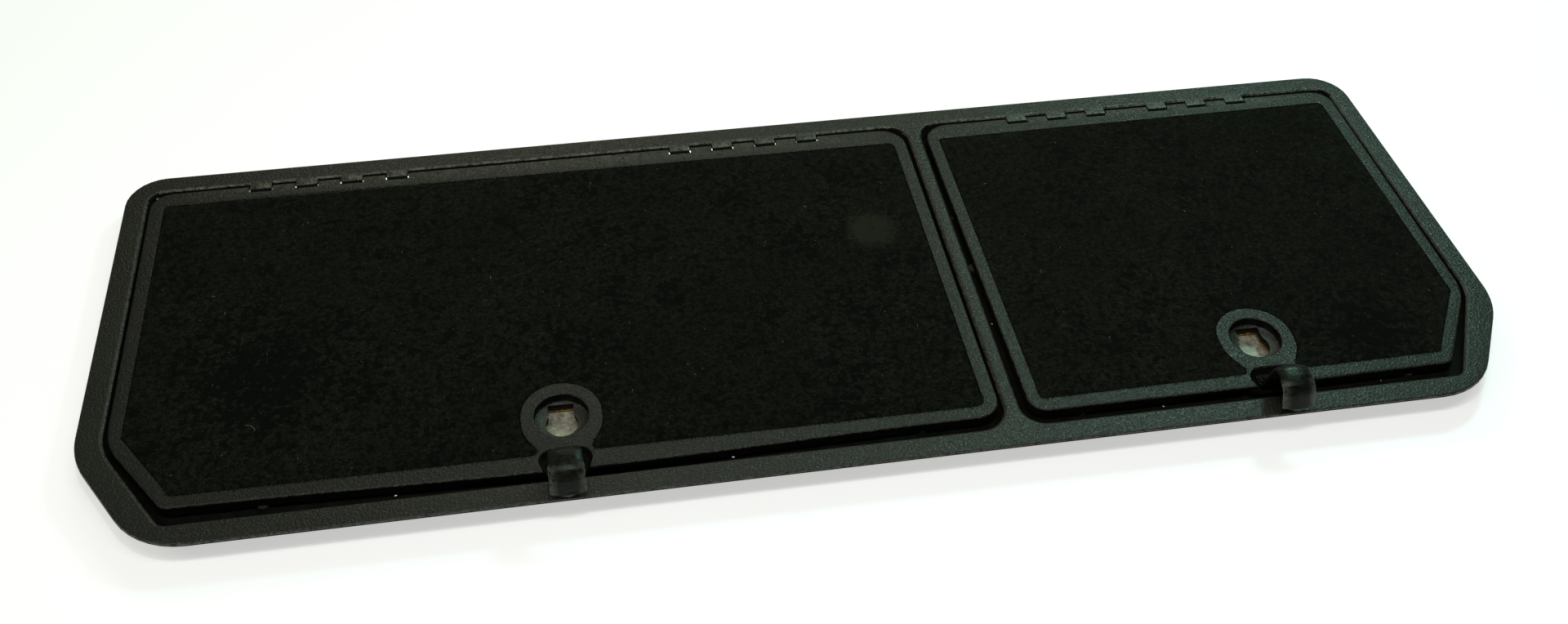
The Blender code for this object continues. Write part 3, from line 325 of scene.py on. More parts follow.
def black_steel(name):
    """Black-coated steel with thin brown wear."""
    paint = Paint(name, (0.004, 0.004, 0.0035), 0.7)
    paint.set("Specular IOR Level", 0.12)
    cloud = paint.noise(300.0, 4.0, 0.65)
    worn = paint.remap(cloud, 0.55, 0.70)
    paint.set("Base Color", paint.mix(worn, (0.003, 0.003, 0.003), (0.010, 0.008, 0.006)))
    paint.set("Roughness", paint.remap(cloud, 0.3, 0.7, 0.62, 0.80))
    paint.set("Normal", paint.bump(cloud, 0.2, 0.0002))
    return paint.material


def plated_steel(name, colour, dull, rough, stain):
    """Plated sheet: drawn lines, cloudy passivation, dull spots and a brown stain."""
    paint = Paint(name, colour, rough, 1.0)
    cloud = paint.noise(85.0, 5.0, 0.65)
    lines = paint.noise(500.0, 3.0, 0.6, (9.0, 1.0, 1.0))
    base = paint.mix(paint.remap(cloud, 0.34, 0.70), colour, dull)
    grime = paint.remap(paint.noise(160.0, 5.0, 0.7, None, 0.5), 0.56, 0.70)
    paint.set("Base Color", paint.mix(paint.maths("MULTIPLY", grime, 0.8), base, stain))
    paint.set("Metallic", paint.remap(grime, 0.0, 1.0, 0.85, 0.25))
    paint.set("Roughness", paint.remap(cloud, 0.3, 0.7, rough - 0.08, rough + 0.16))
    fine = paint.bump(lines, 0.16, 0.00012)
    paint.set("Normal", paint.bump(cloud, 0.12, 0.0003, fine))
    return paint.material


def bright_steel(name):
    """Drawn rod: bright, with fine lines along it."""
    paint = Paint(name, (0.78, 0.77, 0.74), 0.2, 1.0)
    paint.set("Roughness", paint.remap(paint.noise(240.0, 4.0, 0.6), 0.3, 0.7, 0.14, 0.34))
    paint.set("Normal", paint.bump(paint.noise(700.0, 2.0, 0.5, (0.15, 1.0, 1.0)), 0.2, 0.0001))
    return paint.material


def soft_rubber(name):
    """Black rubber with a dull grey bloom."""
    paint = Paint(name, (0.013, 0.013, 0.012), 0.8)
    bloom = paint.remap(paint.noise(130.0, 4.0), 0.4, 0.7)
    paint.set("Base Color", paint.mix(bloom, (0.010, 0.010, 0.010), (0.030, 0.029, 0.027)))
    paint.set("Roughness", paint.remap(bloom, 0.0, 1.0, 0.68, 0.9))
    paint.set("Normal", paint.bump(paint.noise(1300.0, 2.0), 0.3, 0.0002))
    return paint.material


def pressed_board(name):
    """Dark fibreboard: felted fibres in two directions with paler flecks."""
    paint = Paint(name, (0.05, 0.047, 0.041), 0.85)
    along = paint.noise(330.0, 4.0, 0.65, (0.18, 1.0, 1.0), 0.7)
    across = paint.noise(330.0, 4.0, 0.65, (1.0, 0.18, 1.0), 0.7)
    felt = paint.maths("MAXIMUM", along, across)
    fleck = paint.remap(felt, 0.60, 0.74)
    cloud = paint.remap(paint.noise(8.0, 3.0), 0.3, 0.7)
    base = paint.mix(cloud, (0.042, 0.040, 0.035), (0.066, 0.061, 0.052))
    paint.set("Base Color", paint.mix(paint.maths("MULTIPLY", fleck, 0.5), base, (0.14, 0.125, 0.10)))
    paint.set("Normal", paint.bump(felt, 0.5, 0.0004))
    return paint.material


def thread(name, colour):
    """Loose thread or hair, a little uneven in tone."""
    paint = Paint(name, colour, 0.7)
    tone = paint.remap(paint.noise(900.0, 2.0), 0.3, 0.7)
    paint.set("Base Color", paint.mix(tone, shaded(colour, 0.6), colour))
    paint.set("Specular IOR Level", 0.15)
    return paint.material


# ---------------------------------------------------------------- meshes
WELD = 2e-6
SMOOTH_MOULDING = math.radians(34.0)
SMOOTH_TAB = math.radians(50.0)
NORMAL_WEIGHT = 80
# Below the flange top by this much, a moulding takes the darker plastic as painted shade: in the channels,
# and between the knuckles
CHANNEL_DEPTH = 1.6 * MM
KNUCKLE_DEPTH = 0.35 * MM
KNUCKLE_REACH = 4.2 * MM
# Edges are painted paler within this depth of the top, from the first to the second value of a normal's
# upward part: partly wear and partly painted highlight; at the hinge the pale line is a painted highlight
WEAR_AND_HIGHLIGHT_DEPTH = 2.0 * MM
EDGE_WEAR_AND_HIGHLIGHT = (0.55, 0.93)
HINGE_HIGHLIGHT = (0.86, 0.99)
EDGE_WEAR_AND_HIGHLIGHT_SHARE = 0.6
FACES_FRONT = -0.05
FACES_BACK = 0.3
# The lock cup: its floor's radius, and its middle behind the collar's front
CUP_RADIUS = 21.0 * MM
CUP_FROM_COLLAR = 24.0 * MM
NOWHERE = Vector((10.0, 10.0))
# The pull tabs bend round a line along X at this place
ARCH_Y = -173.0 * MM
ARCH_Z = 34.0 * MM
TAB_CUTS = 3
TAB_CROWN = 2.0 * MM
TAB_RISE = 6.0 * MM
TAB_EDGE = 0.8 * MM
TAB_EDGE_SOFT = 0.6 * MM
TAB_EDGE_FROM = 2.0 * MM


def new_piece(name, mesh, body, materials):
    """An object that rides on a body, with its materials."""
    for material in materials:
        mesh.materials.append(material)
    piece = bpy.data.objects.new(name, mesh)
    bpy.context.scene.collection.objects.link(piece)
    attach(piece, body)
    return piece


def welded(node):
    """A CAD node's mesh with its faces joined along shared edges, as a new bmesh."""
    bm = bmesh.new()
    bm.from_mesh(NODES[node].data)
    bmesh.ops.remove_doubles(bm, verts=bm.verts, dist=WELD)
    return bm


def mark_wear_and_highlight(mesh, rod_y):
    """Stores on each vertex how far its face leans between flat and upright, for edges painted paler as wear
    and as painted highlight; at the hinge as painted highlight.
    """
    share = np.zeros(len(mesh.vertices), np.float32)
    for vertex in mesh.vertices:
        lean = vertex.normal.z
        at_rod = vertex.normal.y < FACES_FRONT and vertex.co.y > rod_y - KNUCKLE_REACH
        low, high = HINGE_HIGHLIGHT if at_rod else EDGE_WEAR_AND_HIGHLIGHT
        most = 1.0 if at_rod else EDGE_WEAR_AND_HIGHLIGHT_SHARE
        if vertex.co.z > FLANGE_TOP - WEAR_AND_HIGHLIGHT_DEPTH:
            share[vertex.index] = min(max((high - lean) / (high - low), 0.0), 1.0) * most
    mesh.attributes.new("wear_and_highlight", "FLOAT", "POINT").data.foreach_set("value", share)


def cup_centre(node):
    """Middle of the lock cup on the moulding's lid; far away for the frame."""
    collar = node.replace("lid_moulding", "lock_collar")
    if collar == node:
        return NOWHERE
    low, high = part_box(collar)
    return Vector((0.5 * (low.x + high.x), low.y + CUP_FROM_COLLAR))


def dress_moulding(node, material, channel):
    """Stands in for a moulding with the same shape, smooth across its rounds, with painted shade below its
    top and on the lids' back edges at the hinge.
    """
    rod_y = 0.5 * (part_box("large_hinge_rod")[0].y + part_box("large_hinge_rod")[1].y)
    bm = welded(node)
    mesh = bpy.data.meshes.new(node + "_skin")
    bm.to_mesh(mesh)
    bm.free()
    mesh.shade_smooth()
    mesh.set_sharp_from_angle(angle=SMOOTH_MOULDING)
    mark_wear_and_highlight(mesh, rod_y)
    piece = new_piece(node + "_skin", mesh, NODES[node]["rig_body"], [material, channel])
    cup = cup_centre(node)
    is_frame = node == "frame_moulding"
    for face in mesh.polygons:
        in_cup = face.normal.z > FACES_UP and (face.center.xy - cup).length < CUP_RADIUS
        knuckle = is_frame and abs(face.center.y - rod_y) < KNUCKLE_REACH
        depth = KNUCKLE_DEPTH if knuckle else CHANNEL_DEPTH
        at_back = face.normal.y > FACES_BACK and face.center.y > rod_y - 2.0 * KNUCKLE_REACH
        sunk = face.center.z < FLANGE_TOP - depth and not in_cup
        # the second material is painted shade: on sunk faces, and on a lid's back-facing edges at the hinge
        face.material_index = int((at_back and not is_frame) or sunk)
    weighted = piece.modifiers.new("even shading", "WEIGHTED_NORMAL")
    weighted.keep_sharp = True
    weighted.weight = NORMAL_WEIGHT
    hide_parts(node)


def dress_tab(node, material, seed):
    """Pull tab with a finer skin that is dented a little and crowned towards its side edges."""
    bm = welded(node)
    bmesh.ops.subdivide_edges(bm, edges=bm.edges, cuts=TAB_CUTS, use_grid_fill=True)
    bm.normal_update()
    shift = Vector((seed, 2.0 * seed, 0.0))
    low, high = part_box(node)
    middle, half = 0.5 * (low.x + high.x), 0.5 * (high.x - low.x)
    for vertex in bm.verts:
        dent = noise.noise(vertex.co * 95.0 + shift) * 0.16 + noise.noise(vertex.co * 330.0 + shift) * 0.06
        above = min(max((vertex.co.z - FLANGE_TOP) / TAB_RISE, 0.0), 1.0)
        inward = Vector((0.0, ARCH_Y - vertex.co.y, ARCH_Z - vertex.co.z)).normalized()
        across = (vertex.co.x - middle) / half
        vertex.co += vertex.normal * (dent * MM * above)
        vertex.co += inward * (TAB_CROWN * above * across * across)
    mesh = bpy.data.meshes.new(node + "_skin")
    bm.to_mesh(mesh)
    bm.free()
    # side edges are marked to be painted pale, partly rubbing and partly painted highlight; the mark stops
    # near the flange, where the tab is in shade
    edge = [max(0.0, (abs(v.co.x - middle) - half + TAB_EDGE) / TAB_EDGE_SOFT)
            * (v.co.z > FLANGE_TOP + TAB_EDGE_FROM) for v in mesh.vertices]
    wear_and_highlight = np.minimum(edge, 1.0).astype(np.float32)
    mesh.attributes.new("wear_and_highlight", "FLOAT", "POINT").data.foreach_set("value", wear_and_highlight)
    mesh.shade_smooth()
    mesh.set_sharp_from_angle(angle=SMOOTH_TAB)
    piece = new_piece(node + "_skin", mesh, NODES[node]["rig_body"], [material])
    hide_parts(node)


# ---------------------------------------------------------------- carpet
RING_PITCH = 1.6 * MM
GRID_PITCH = 4.2 * MM
GRID_WANDER = 0.3
GRID_MARGIN = 1.3 * MM
GRID_SEED = 5
CUT_LIMIT = 1e-7
SMOOTH_PILE = math.radians(60.0)
PILE_TOP = FLANGE_TOP + 0.1 * MM
FIBRES_PER_M2 = 170000
FIBRE_MARGIN = 0.8 * MM
FRINGE_PITCH = 0.45 * MM
FRINGE_INSET = 0.5 * MM
# Bands along the front and back edges that are frayed more, and where along the back edge the carpet swells
FRONT_BAND = 12.0 * MM
BACK_BAND = 4.0 * MM
FRINGE_BAND = 15.0 * MM
SWELL_AT = 0.23
SWELL_REACH = 0.13
# Least and greatest sizes of fibres, in millimetres
PILE_LENGTH = (1.2, 3.2)
PILE_WIDTH = (0.16, 0.34)
PILE_LIFT = (0.10, 0.42)
FRINGE_LENGTH = (0.8, 1.9)
FRINGE_WIDTH = (0.18, 0.36)
FRINGE_LIFT = (0.15, 0.5)


def top_ring(node):
    """Outline of a carpet's top face, evenly spaced, anticlockwise, as an N by 2 array."""
    bm = welded(node)
    bm.normal_update()
    ahead = {}
    for edge in bm.edges:
        tops = [f for f in edge.link_faces if f.normal.z > FACES_UP]
        if len(tops) == 1 and len(edge.link_faces) == 2:
            for loop in tops[0].loops:
                if loop.edge == edge:
                    ahead[loop.vert.index] = (loop.link_loop_next.vert.index, loop.vert.co.copy())
    start = index = next(iter(ahead))
    corners = []
    while True:
        index, point = ahead[index]
        corners.append((point.x, point.y))
        if index == start:
            break
    bm.free()
    corners = np.array(corners)
    steps = np.linalg.norm(np.roll(corners, -1, 0) - corners, axis=1)
    along = np.concatenate(([0.0], np.cumsum(steps)))
    closed = np.vstack((corners, corners[:1]))
    count = int(along[-1] / RING_PITCH)
    at = np.linspace(0.0, along[-1], count, endpoint=False)
    return np.stack([np.interp(at, along, closed[:, k]) for k in (0, 1)], axis=1)


def outward(ring):
    """Unit vectors that point out of an anticlockwise ring."""
    ahead = np.roll(ring, -1, 0) - np.roll(ring, 1, 0)
    side = np.stack((ahead[:, 1], -ahead[:, 0]), axis=1)
    return side / np.linalg.norm(side, axis=1)[:, None]


def inside(points, ring):
    """Which points lie inside the ring, by counting crossings."""
    x, y = points[:, 0][:, None], points[:, 1][:, None]
    ax, ay = ring[:, 0][None], ring[:, 1][None]
    bx, by = np.roll(ring[:, 0], -1)[None], np.roll(ring[:, 1], -1)[None]
    result = np.zeros(len(points), bool)
    for part in np.array_split(np.arange(len(points)), max(1, len(points) // 4000)):
        crosses = (ay > y[part]) != (by > y[part])
        meet = (bx - ax) * (y[part] - ay) / np.where(by == ay, 1e-12, by - ay) + ax
        result[part] = (crosses & (x[part] < meet)).sum(1) % 2 == 1
    return result


def ring_distance(points, ring):
    """Distance from each point to the nearest ring point."""
    result = np.empty(len(points))
    for part in np.array_split(np.arange(len(points)), max(1, len(points) // 2000)):
        gaps = np.linalg.norm(points[part][:, None] - ring[None], axis=2)
        result[part] = gaps.min(1)
    return result


def fray(ring, lid):
    """Cut edge that wanders; the back edge near the left hinges stands over the lip."""
    side = outward(ring)
    low, high = ring.min(0), ring.max(0)
    frayed = ring.copy()
    for i, (x, y) in enumerate(ring):
        wander = 0.30 * noise.noise(Vector((x, y, 0.0)) * 160.0)
        wander += 0.22 * noise.noise(Vector((x, y, 0.3)) * 520.0)
        if y - low[1] < FRONT_BAND:
            wander += 0.75 * noise.noise(Vector((x, y, 0.7)) * 260.0) + 0.30
        if lid == "large" and high[1] - y < BACK_BAND:
            reach = (x - low[0]) / (high[0] - low[0])
            swell = math.exp(-((reach - SWELL_AT) / SWELL_REACH) ** 2)
            wander += swell * (1.3 + 1.9 * noise.noise(Vector((x, y, 1.1)) * 110.0))
        frayed[i] += side[i] * wander * MM
    return frayed


def pile_height(x, y, edge):
    """Height of the matted pile; edge is the distance to the cut edge."""
    point = Vector((x, y, 0.0))
    swell = 0.16 * noise.noise(point * 18.0) + 0.13 * noise.noise(point * 75.0)
    swell += 0.16 * noise.noise(point * 260.0)
    fall = 0.55 * math.exp(-edge / (1.1 * MM))
    return PILE_TOP + (swell - fall) * MM


def carpet_mesh(name, ring, base_z):
    """Closed sheet: uneven pile on top, upright cut edges and a flat back."""
    low, high = ring.min(0), ring.max(0)
    rng = np.random.default_rng(GRID_SEED)
    xs = np.arange(low[0], high[0], GRID_PITCH)
    ys = np.arange(low[1], high[1], GRID_PITCH)
    grid = np.stack(np.meshgrid(xs, ys), axis=-1).reshape(-1, 2)
    grid += rng.uniform(-GRID_WANDER, GRID_WANDER, grid.shape) * GRID_PITCH
    grid = grid[inside(grid, ring)]
    gaps = ring_distance(grid, ring)
    grid, gaps = grid[gaps > GRID_MARGIN], gaps[gaps > GRID_MARGIN]
    count = len(ring)
    points = [Vector(p) for p in ring] + [Vector(p) for p in grid]
    edges = [(i, (i + 1) % count) for i in range(count)]
    flat, _, faces, *_ = geometry.delaunay_2d_cdt(points, edges, [], 1, CUT_LIMIT)
    depth = np.concatenate((np.zeros(count), gaps))
    verts = [(p.x, p.y, pile_height(p.x, p.y, depth[i])) for i, p in enumerate(flat)]
    bottom = len(verts)
    verts += [(x, y, base_z) for x, y in ring]
    _, _, under, *_ = geometry.delaunay_2d_cdt(points[:count], edges, [], 1, CUT_LIMIT)
    faces = [tuple(f) for f in faces]
    faces += [(i, bottom + i, bottom + (i + 1) % count, (i + 1) % count) for i in range(count)]
    faces += [tuple(bottom + i for i in reversed(f)) for f in under]
    mesh = bpy.data.meshes.new(name)
    mesh.from_pydata(verts, [], faces)
    bm = bmesh.new()
    bm.from_mesh(mesh)
    bmesh.ops.recalc_face_normals(bm, faces=bm.faces)
    bm.to_mesh(mesh)
    bm.free()
    mesh.shade_smooth()
    mesh.set_sharp_from_angle(angle=SMOOTH_PILE)
    return mesh


def fibre_mesh(name, roots, headings, lengths, widths, lifts):
    """Flat tapered fibres, each lying over in an arc from its root."""
    count = len(roots)
    ahead = np.stack((np.cos(headings), np.sin(headings), np.zeros(count)), axis=1)
    side = np.stack((-ahead[:, 1], ahead[:, 0], np.zeros(count)), axis=1)
    up = np.array((0.0, 0.0, 1.0))
    rows = []
    for share, rise, wide in ((0.0, -0.25, 1.0), (0.45, 1.0, 0.8), (1.0, 0.35, 0.0)):
        middle = roots + ahead * (share * lengths)[:, None] + up * (rise * lifts)[:, None]
        bend = side * (0.25 * lengths * np.sin(headings * 7.0) * share * share)[:, None]
        half = side * (0.5 * wide * widths)[:, None]
        rows.append((middle + bend - half, middle + bend + half))
    verts = np.stack((rows[0][0], rows[0][1], rows[1][0], rows[1][1], rows[2][0]), axis=1).reshape(-1, 3)
    firsts = (np.arange(count) * 5).tolist()
    faces = [(a, a + 1, a + 3, a + 2) for a in firsts] + [(a + 2, a + 3, a + 4) for a in firsts]
    mesh = bpy.data.meshes.new(name)
    mesh.from_pydata(verts.tolist(), [], faces)
    return mesh


def pile_fibres(name, ring, rng):
    """Loose fibres that lie all over the pile."""
    low, high = ring.min(0), ring.max(0)
    wanted = int(FIBRES_PER_M2 * (high[0] - low[0]) * (high[1] - low[1]))
    spots = rng.uniform(low, high, (wanted, 2))
    spots = spots[inside(spots, ring)]
    gaps = ring_distance(spots, ring)
    keep = gaps > FIBRE_MARGIN
    spots, gaps = spots[keep], gaps[keep]
    count = len(spots)
    heights = np.array([pile_height(x, y, g) for (x, y), g in zip(spots, gaps)])
    roots = np.column_stack((spots, heights))
    headings = rng.uniform(0.0, 2.0 * math.pi, count)
    lengths = rng.uniform(*PILE_LENGTH, count) * MM
    widths = rng.uniform(*PILE_WIDTH, count) * MM
    lifts = rng.uniform(*PILE_LIFT, count) * MM
    return fibre_mesh(name, roots, headings, lengths, widths, lifts)


def edge_fringe(name, ring, rng):
    """Loose ends along the cut edge, longest at the front."""
    side = outward(ring)
    repeats = max(1, int(round(RING_PITCH / FRINGE_PITCH)))
    index = np.repeat(np.arange(len(ring)), repeats)
    following = (index + 1) % len(ring)
    share = rng.uniform(0.0, 1.0, len(index))[:, None]
    spots = ring[index] * (1.0 - share) + ring[following] * share - side[index] * FRINGE_INSET
    count = len(spots)
    front = np.clip(1.0 - (spots[:, 1] - ring[:, 1].min()) / FRINGE_BAND, 0.0, 1.0)
    headings = np.arctan2(side[index][:, 1], side[index][:, 0]) + rng.normal(0.0, 0.75, count)
    lengths = rng.uniform(*FRINGE_LENGTH, count) * (1.0 + 0.9 * front) * MM
    widths = rng.uniform(*FRINGE_WIDTH, count) * MM
    lifts = rng.uniform(*FRINGE_LIFT, count) * MM
    roots = np.column_stack((spots, np.full(count, FLANGE_TOP - 0.02 * MM)))
    return fibre_mesh(name, roots, headings, lengths, widths, lifts)


def lay_carpet(lid, material, fuzz_material, edge_shade_material):
    """Fitted carpet of one lid with its pile fibres and its darker fringe, which also paints the shade along
    the carpet's edge; returns its outline before fraying.
    """
    node = lid + "_carpet"
    rng = np.random.default_rng(SEED[lid])
    clean = top_ring(node)
    ring = fray(clean, lid)
    low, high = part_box(node)
    body = lid + "_lid"
    sheet = new_piece(node + "_sheet", carpet_mesh(node + "_sheet", ring, low.z), body, [material])
    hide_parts(node)
    pile_mesh = pile_fibres(node + "_pile", ring, rng)
    fuzz = new_piece(node + "_pile", pile_mesh, body, [fuzz_material])
    # the fringe's darker material is partly frayed ends, partly painted shade of the gap at the carpet's edge
    fringe_mesh = edge_fringe(node + "_fringe", ring, rng)
    fringe = new_piece(node + "_fringe", fringe_mesh, body, [edge_shade_material])
    return clean


# ---------------------------------------------------------------- lint and hairs
LINT_COUNT = {"large": 150, "small": 90}
LINT_MARGIN = 4.0 * MM
LINT_FLOATS = 0.35 * MM
HAIR_FLOATS = 0.3 * MM
HAIR_STEPS = 16
CURL_LIFT = 0.12 * MM
SIDES = 3
TAPER = 0.35
BIG_LINT_SHARE = 0.18
# Least and greatest sizes of lint, in millimetres, and of a thread's turn at each step, in radians
BIG_LENGTH = (1.6, 3.6)
BIG_RADIUS = (0.10, 0.16)
SMALL_LENGTH = (0.4, 1.1)
SMALL_RADIUS = (0.10, 0.22)
LINT_TURN = (-1.2, 1.2)
# Which of the three lint materials a thread takes, the first one twice as often
LINT_TONES = (0, 0, 1, 2)


def add_thread(verts, faces, points, radius):
    """Thin tube through some points, tapered at both ends."""
    start = len(verts)
    for i, point in enumerate(points):
        before = points[max(i - 1, 0)]
        after = points[min(i + 1, len(points) - 1)]
        ahead = (after - before).normalized()
        side = ahead.cross(Vector((0.0, 0.0, 1.0))).normalized()
        lift = side.cross(ahead)
        width = radius * (TAPER if i in (0, len(points) - 1) else 1.0)
        for k in range(SIDES):
            angle = 2.0 * math.pi * k / SIDES
            verts.append(point + side * (width * math.cos(angle)) + lift * (width * math.sin(angle)))
    end = start + SIDES * (len(points) - 1)
    for ring_start in range(start, end, SIDES):
        for k in range(SIDES):
            a, b = ring_start + k, ring_start + (k + 1) % SIDES
            faces.append((a, b, b + SIDES, a + SIDES))
    faces.append(tuple(reversed(range(start, start + SIDES))))
    faces.append(tuple(range(end, end + SIDES)))


def curl(rng, x, y, z, length, turn, steps=6):
    """Points of a small bent thread that lies on the pile."""
    heading = rng.uniform(0.0, 2.0 * math.pi)
    points = []
    for k in range(steps):
        points.append(Vector((x, y, z + CURL_LIFT * math.sin(k))))
        heading += turn * rng.uniform(0.2, 1.0)
        x += math.cos(heading) * length / (steps - 1)
        y += math.sin(heading) * length / (steps - 1)
    return points


def scatter_lint(lid, ring, materials):
    """Specks and curled threads caught in the pile, in a few tones."""
    rng = random.Random(SEED[lid])
    low, high = ring.min(0), ring.max(0)
    verts, faces, tones = [], [], []
    placed = 0
    while placed < LINT_COUNT[lid]:
        x, y = rng.uniform(low[0], high[0]), rng.uniform(low[1], high[1])
        spot = np.array([[x, y]])
        if not inside(spot, ring)[0] or ring_distance(spot, ring)[0] < LINT_MARGIN:
            continue
        before = len(faces)
        big = rng.random() < BIG_LINT_SHARE
        length = rng.uniform(*(BIG_LENGTH if big else SMALL_LENGTH)) * MM
        radius = rng.uniform(*(BIG_RADIUS if big else SMALL_RADIUS)) * MM
        turn = rng.uniform(*LINT_TURN)
        add_thread(verts, faces, curl(rng, x, y, PILE_TOP + LINT_FLOATS, length, turn), radius)
        tones += [rng.choice(LINT_TONES)] * (len(faces) - before)
        placed += 1
    mesh = bpy.data.meshes.new(lid + "_lint")
    mesh.from_pydata(verts, [], faces)
    new_piece(lid + "_lint", mesh, lid + "_lid", materials)
    mesh.polygons.foreach_set("material_index", tones)
    mesh.shade_smooth()


def lay_hair(name, lid, centre, length, turn, radius, material, seed):
    """One long hair on the pile."""
    rng = random.Random(seed)
    verts, faces = [], []
    height = PILE_TOP + radius + HAIR_FLOATS
    add_thread(verts, faces, curl(rng, *centre, height, length, turn, HAIR_STEPS), radius)
    mesh = bpy.data.meshes.new(name)
    mesh.from_pydata(verts, [], faces)
    mesh.shade_smooth()
    new_piece(name, mesh, lid + "_lid", [material])


# ---------------------------------------------------------------- assembly of looks
# Dark and worn colours of the two mouldings (the worn colour, brightened, also paints edge highlights); dark
# and light colours of the carpet's pile, fibres and cut edge (the cut edge's are darker, partly as painted
# shade along the carpet's border)
FRAME_BLACK = (0.0085, 0.0094, 0.0062)
FRAME_WORN = (0.080, 0.084, 0.066)
LID_BLACK = (0.0070, 0.0078, 0.0052)
LID_WORN = (0.070, 0.074, 0.058)
PILE_TONES = ((0.0006, 0.0007, 0.0005), (0.0185, 0.0212, 0.0138))
FIBRE_TONES = ((0.0008, 0.0009, 0.0007), (0.0210, 0.0240, 0.0158))
EDGE_SHADE_TONES = ((0.0005, 0.0006, 0.0004), (0.0060, 0.0068, 0.0046))
ZINC = (0.55, 0.53, 0.47)
ZINC_DULL = (0.33, 0.31, 0.26)
ZINC_STAIN = (0.10, 0.075, 0.045)
LINT_COLOURS = {"pale lint": (0.42, 0.42, 0.38), "ochre lint": (0.22, 0.16, 0.06),
                "cool lint": (0.16, 0.22, 0.22)}
HAIR_BLACK = (0.0003, 0.0003, 0.0003)

# Places on a carpet, as shares of its width and depth, and sizes of the marks and hairs there
LARGE_MARK_AT = (0.155, 0.33)
SMALL_MARK_AT = (0.77, 0.10)
SMUDGE_AT = (0.930, 0.645)
LARGE_MARK = (18.0 * MM, 55.0 * MM)
SMALL_MARK = (14.0 * MM, 45.0 * MM)
SMUDGE = (12.0 * MM, 12.0 * MM)
DARK_HAIR_AT = (0.235, 0.86)
PALE_HAIR_AT = (0.15, 0.17)


def coat(material, *names):
    """Gives some CAD nodes another material."""
    for name in names:
        for slot in NODES[name].material_slots:
            slot.material = material


def nodes_named(start):
    return [name for name in NODES if name.startswith(start)]


def on_carpet(lid, shares):
    """Place on a lid's carpet that lies at these shares of its width and depth."""
    low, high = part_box(lid + "_carpet")
    return low.x + shares[0] * (high.x - low.x), low.y + shares[1] * (high.y - low.y)


def carpet_mark(lid, shares, size):
    """A mark's centre on top of the carpet, its radius and its soft rim."""
    return (*on_carpet(lid, shares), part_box(lid + "_carpet")[1].z), *size


def dress_hardware(lid, materials):
    """Metal and board parts of one lid, which keep their CAD shapes."""
    coat(materials["steel"], lid + "_hinge_rod", *nodes_named(lid + "_housing_rivet"))
    coat(materials["black"], lid + "_tab_clamp", *nodes_named(lid + "_tab_screw"))
    coat(materials["black"], *nodes_named(lid + "_keeper_rivet"))
    coat(materials["zinc"], lid + "_keeper", lid + "_bolt_housing", *nodes_named(lid + "_panel_screw"))
    coat(materials["plate"], lid + "_lock_bolt")
    coat(materials["yellow"], lid + "_lock_collar")
    coat(materials["board"], lid + "_backing_panel")


def dress_object():
    frame_plastic = moulded_plastic("frame plastic", FRAME_BLACK, FRAME_WORN, 0.41, 0.45)
    lid_plastic = moulded_plastic("lid plastic", LID_BLACK, LID_WORN, 0.42, 0.38)
    # darker plastic that paints the shade in channels, between knuckles and on the lids' back edges
    channel = painted_shade_plastic("channel plastic")
    marks = [carpet_mark("large", LARGE_MARK_AT, LARGE_MARK), carpet_mark("small", SMALL_MARK_AT, SMALL_MARK)]
    smudge = carpet_mark("large", SMUDGE_AT, SMUDGE)
    pile = carpet_pile("carpet pile", *PILE_TONES, marks, smudge)
    fibres = carpet_pile("carpet fibres", *FIBRE_TONES, marks, smudge)
    edges = carpet_pile("carpet edge", *EDGE_SHADE_TONES, marks, smudge)
    vinyl = strap_vinyl("strap vinyl")
    hardware = {"steel": bright_steel("bright steel"),
                "zinc": plated_steel("zinc plate", ZINC, ZINC_DULL, 0.42, ZINC_STAIN),
                "yellow": collar_zinc("yellow zinc"), "plate": worn_plate("worn plate"),
                "black": black_steel("black steel"), "board": pressed_board("pressed board")}
    lint = [thread(name, colour) for name, colour in LINT_COLOURS.items()]

    dress_moulding("frame_moulding", frame_plastic, channel)
    coat(soft_rubber("soft rubber"), *nodes_named("rest_bumper"))
    for lid in LIDS:
        dress_moulding(lid + "_lid_moulding", lid_plastic, channel)
        dress_tab(lid + "_pull_tab", vinyl, SEED[lid])
        ring = lay_carpet(lid, pile, fibres, edges)
        scatter_lint(lid, ring, lint)
        dress_hardware(lid, hardware)
    lay_hair("dark_hair", "large", on_carpet("large", DARK_HAIR_AT), 13.0 * MM, 0.32, 0.50 * MM,
             thread("dark hair", HAIR_BLACK), 4)
    lay_hair("pale_hair", "large", on_carpet("large", PALE_HAIR_AT), 11.0 * MM, 0.22, 0.13 * MM, lint[0], 8)


# ---------------------------------------------------------------- stage, light and camera
TABLE_SIZE = 12.0
TABLE_GLOW = 0.545
WORLD_COLOUR = (0.97, 1.0, 0.93, 1.0)
WORLD_STRENGTH = 0.05
CAMERA_PLACE = (-0.1861, -0.87464, 0.88947)
CAMERA_TARGET = (-0.01989, -0.03253, 0.022)
CAMERA_ROLL = math.radians(2.025)
LENS_MM = 36.84
SENSOR_MM = 36.0


def lit_table():
    """Pale table that glows a little, as a translucent table lit from below does."""
    bpy.ops.mesh.primitive_grid_add(x_subdivisions=8, y_subdivisions=8, size=TABLE_SIZE)
    table = bpy.context.object
    table.name = "table"
    paint = Paint("pale table", (0.86, 0.86, 0.87), 0.6)
    tone = paint.remap(paint.noise(3.0, 2.0), 0.3, 0.7)
    paint.set("Base Color", paint.mix(tone, (0.90, 0.90, 0.92), (0.93, 0.93, 0.95)))
    paint.set("Emission Color", (0.99, 1.0, 0.98, 1.0))
    paint.set("Emission Strength", TABLE_GLOW)
    table.data.materials.append(paint.material)


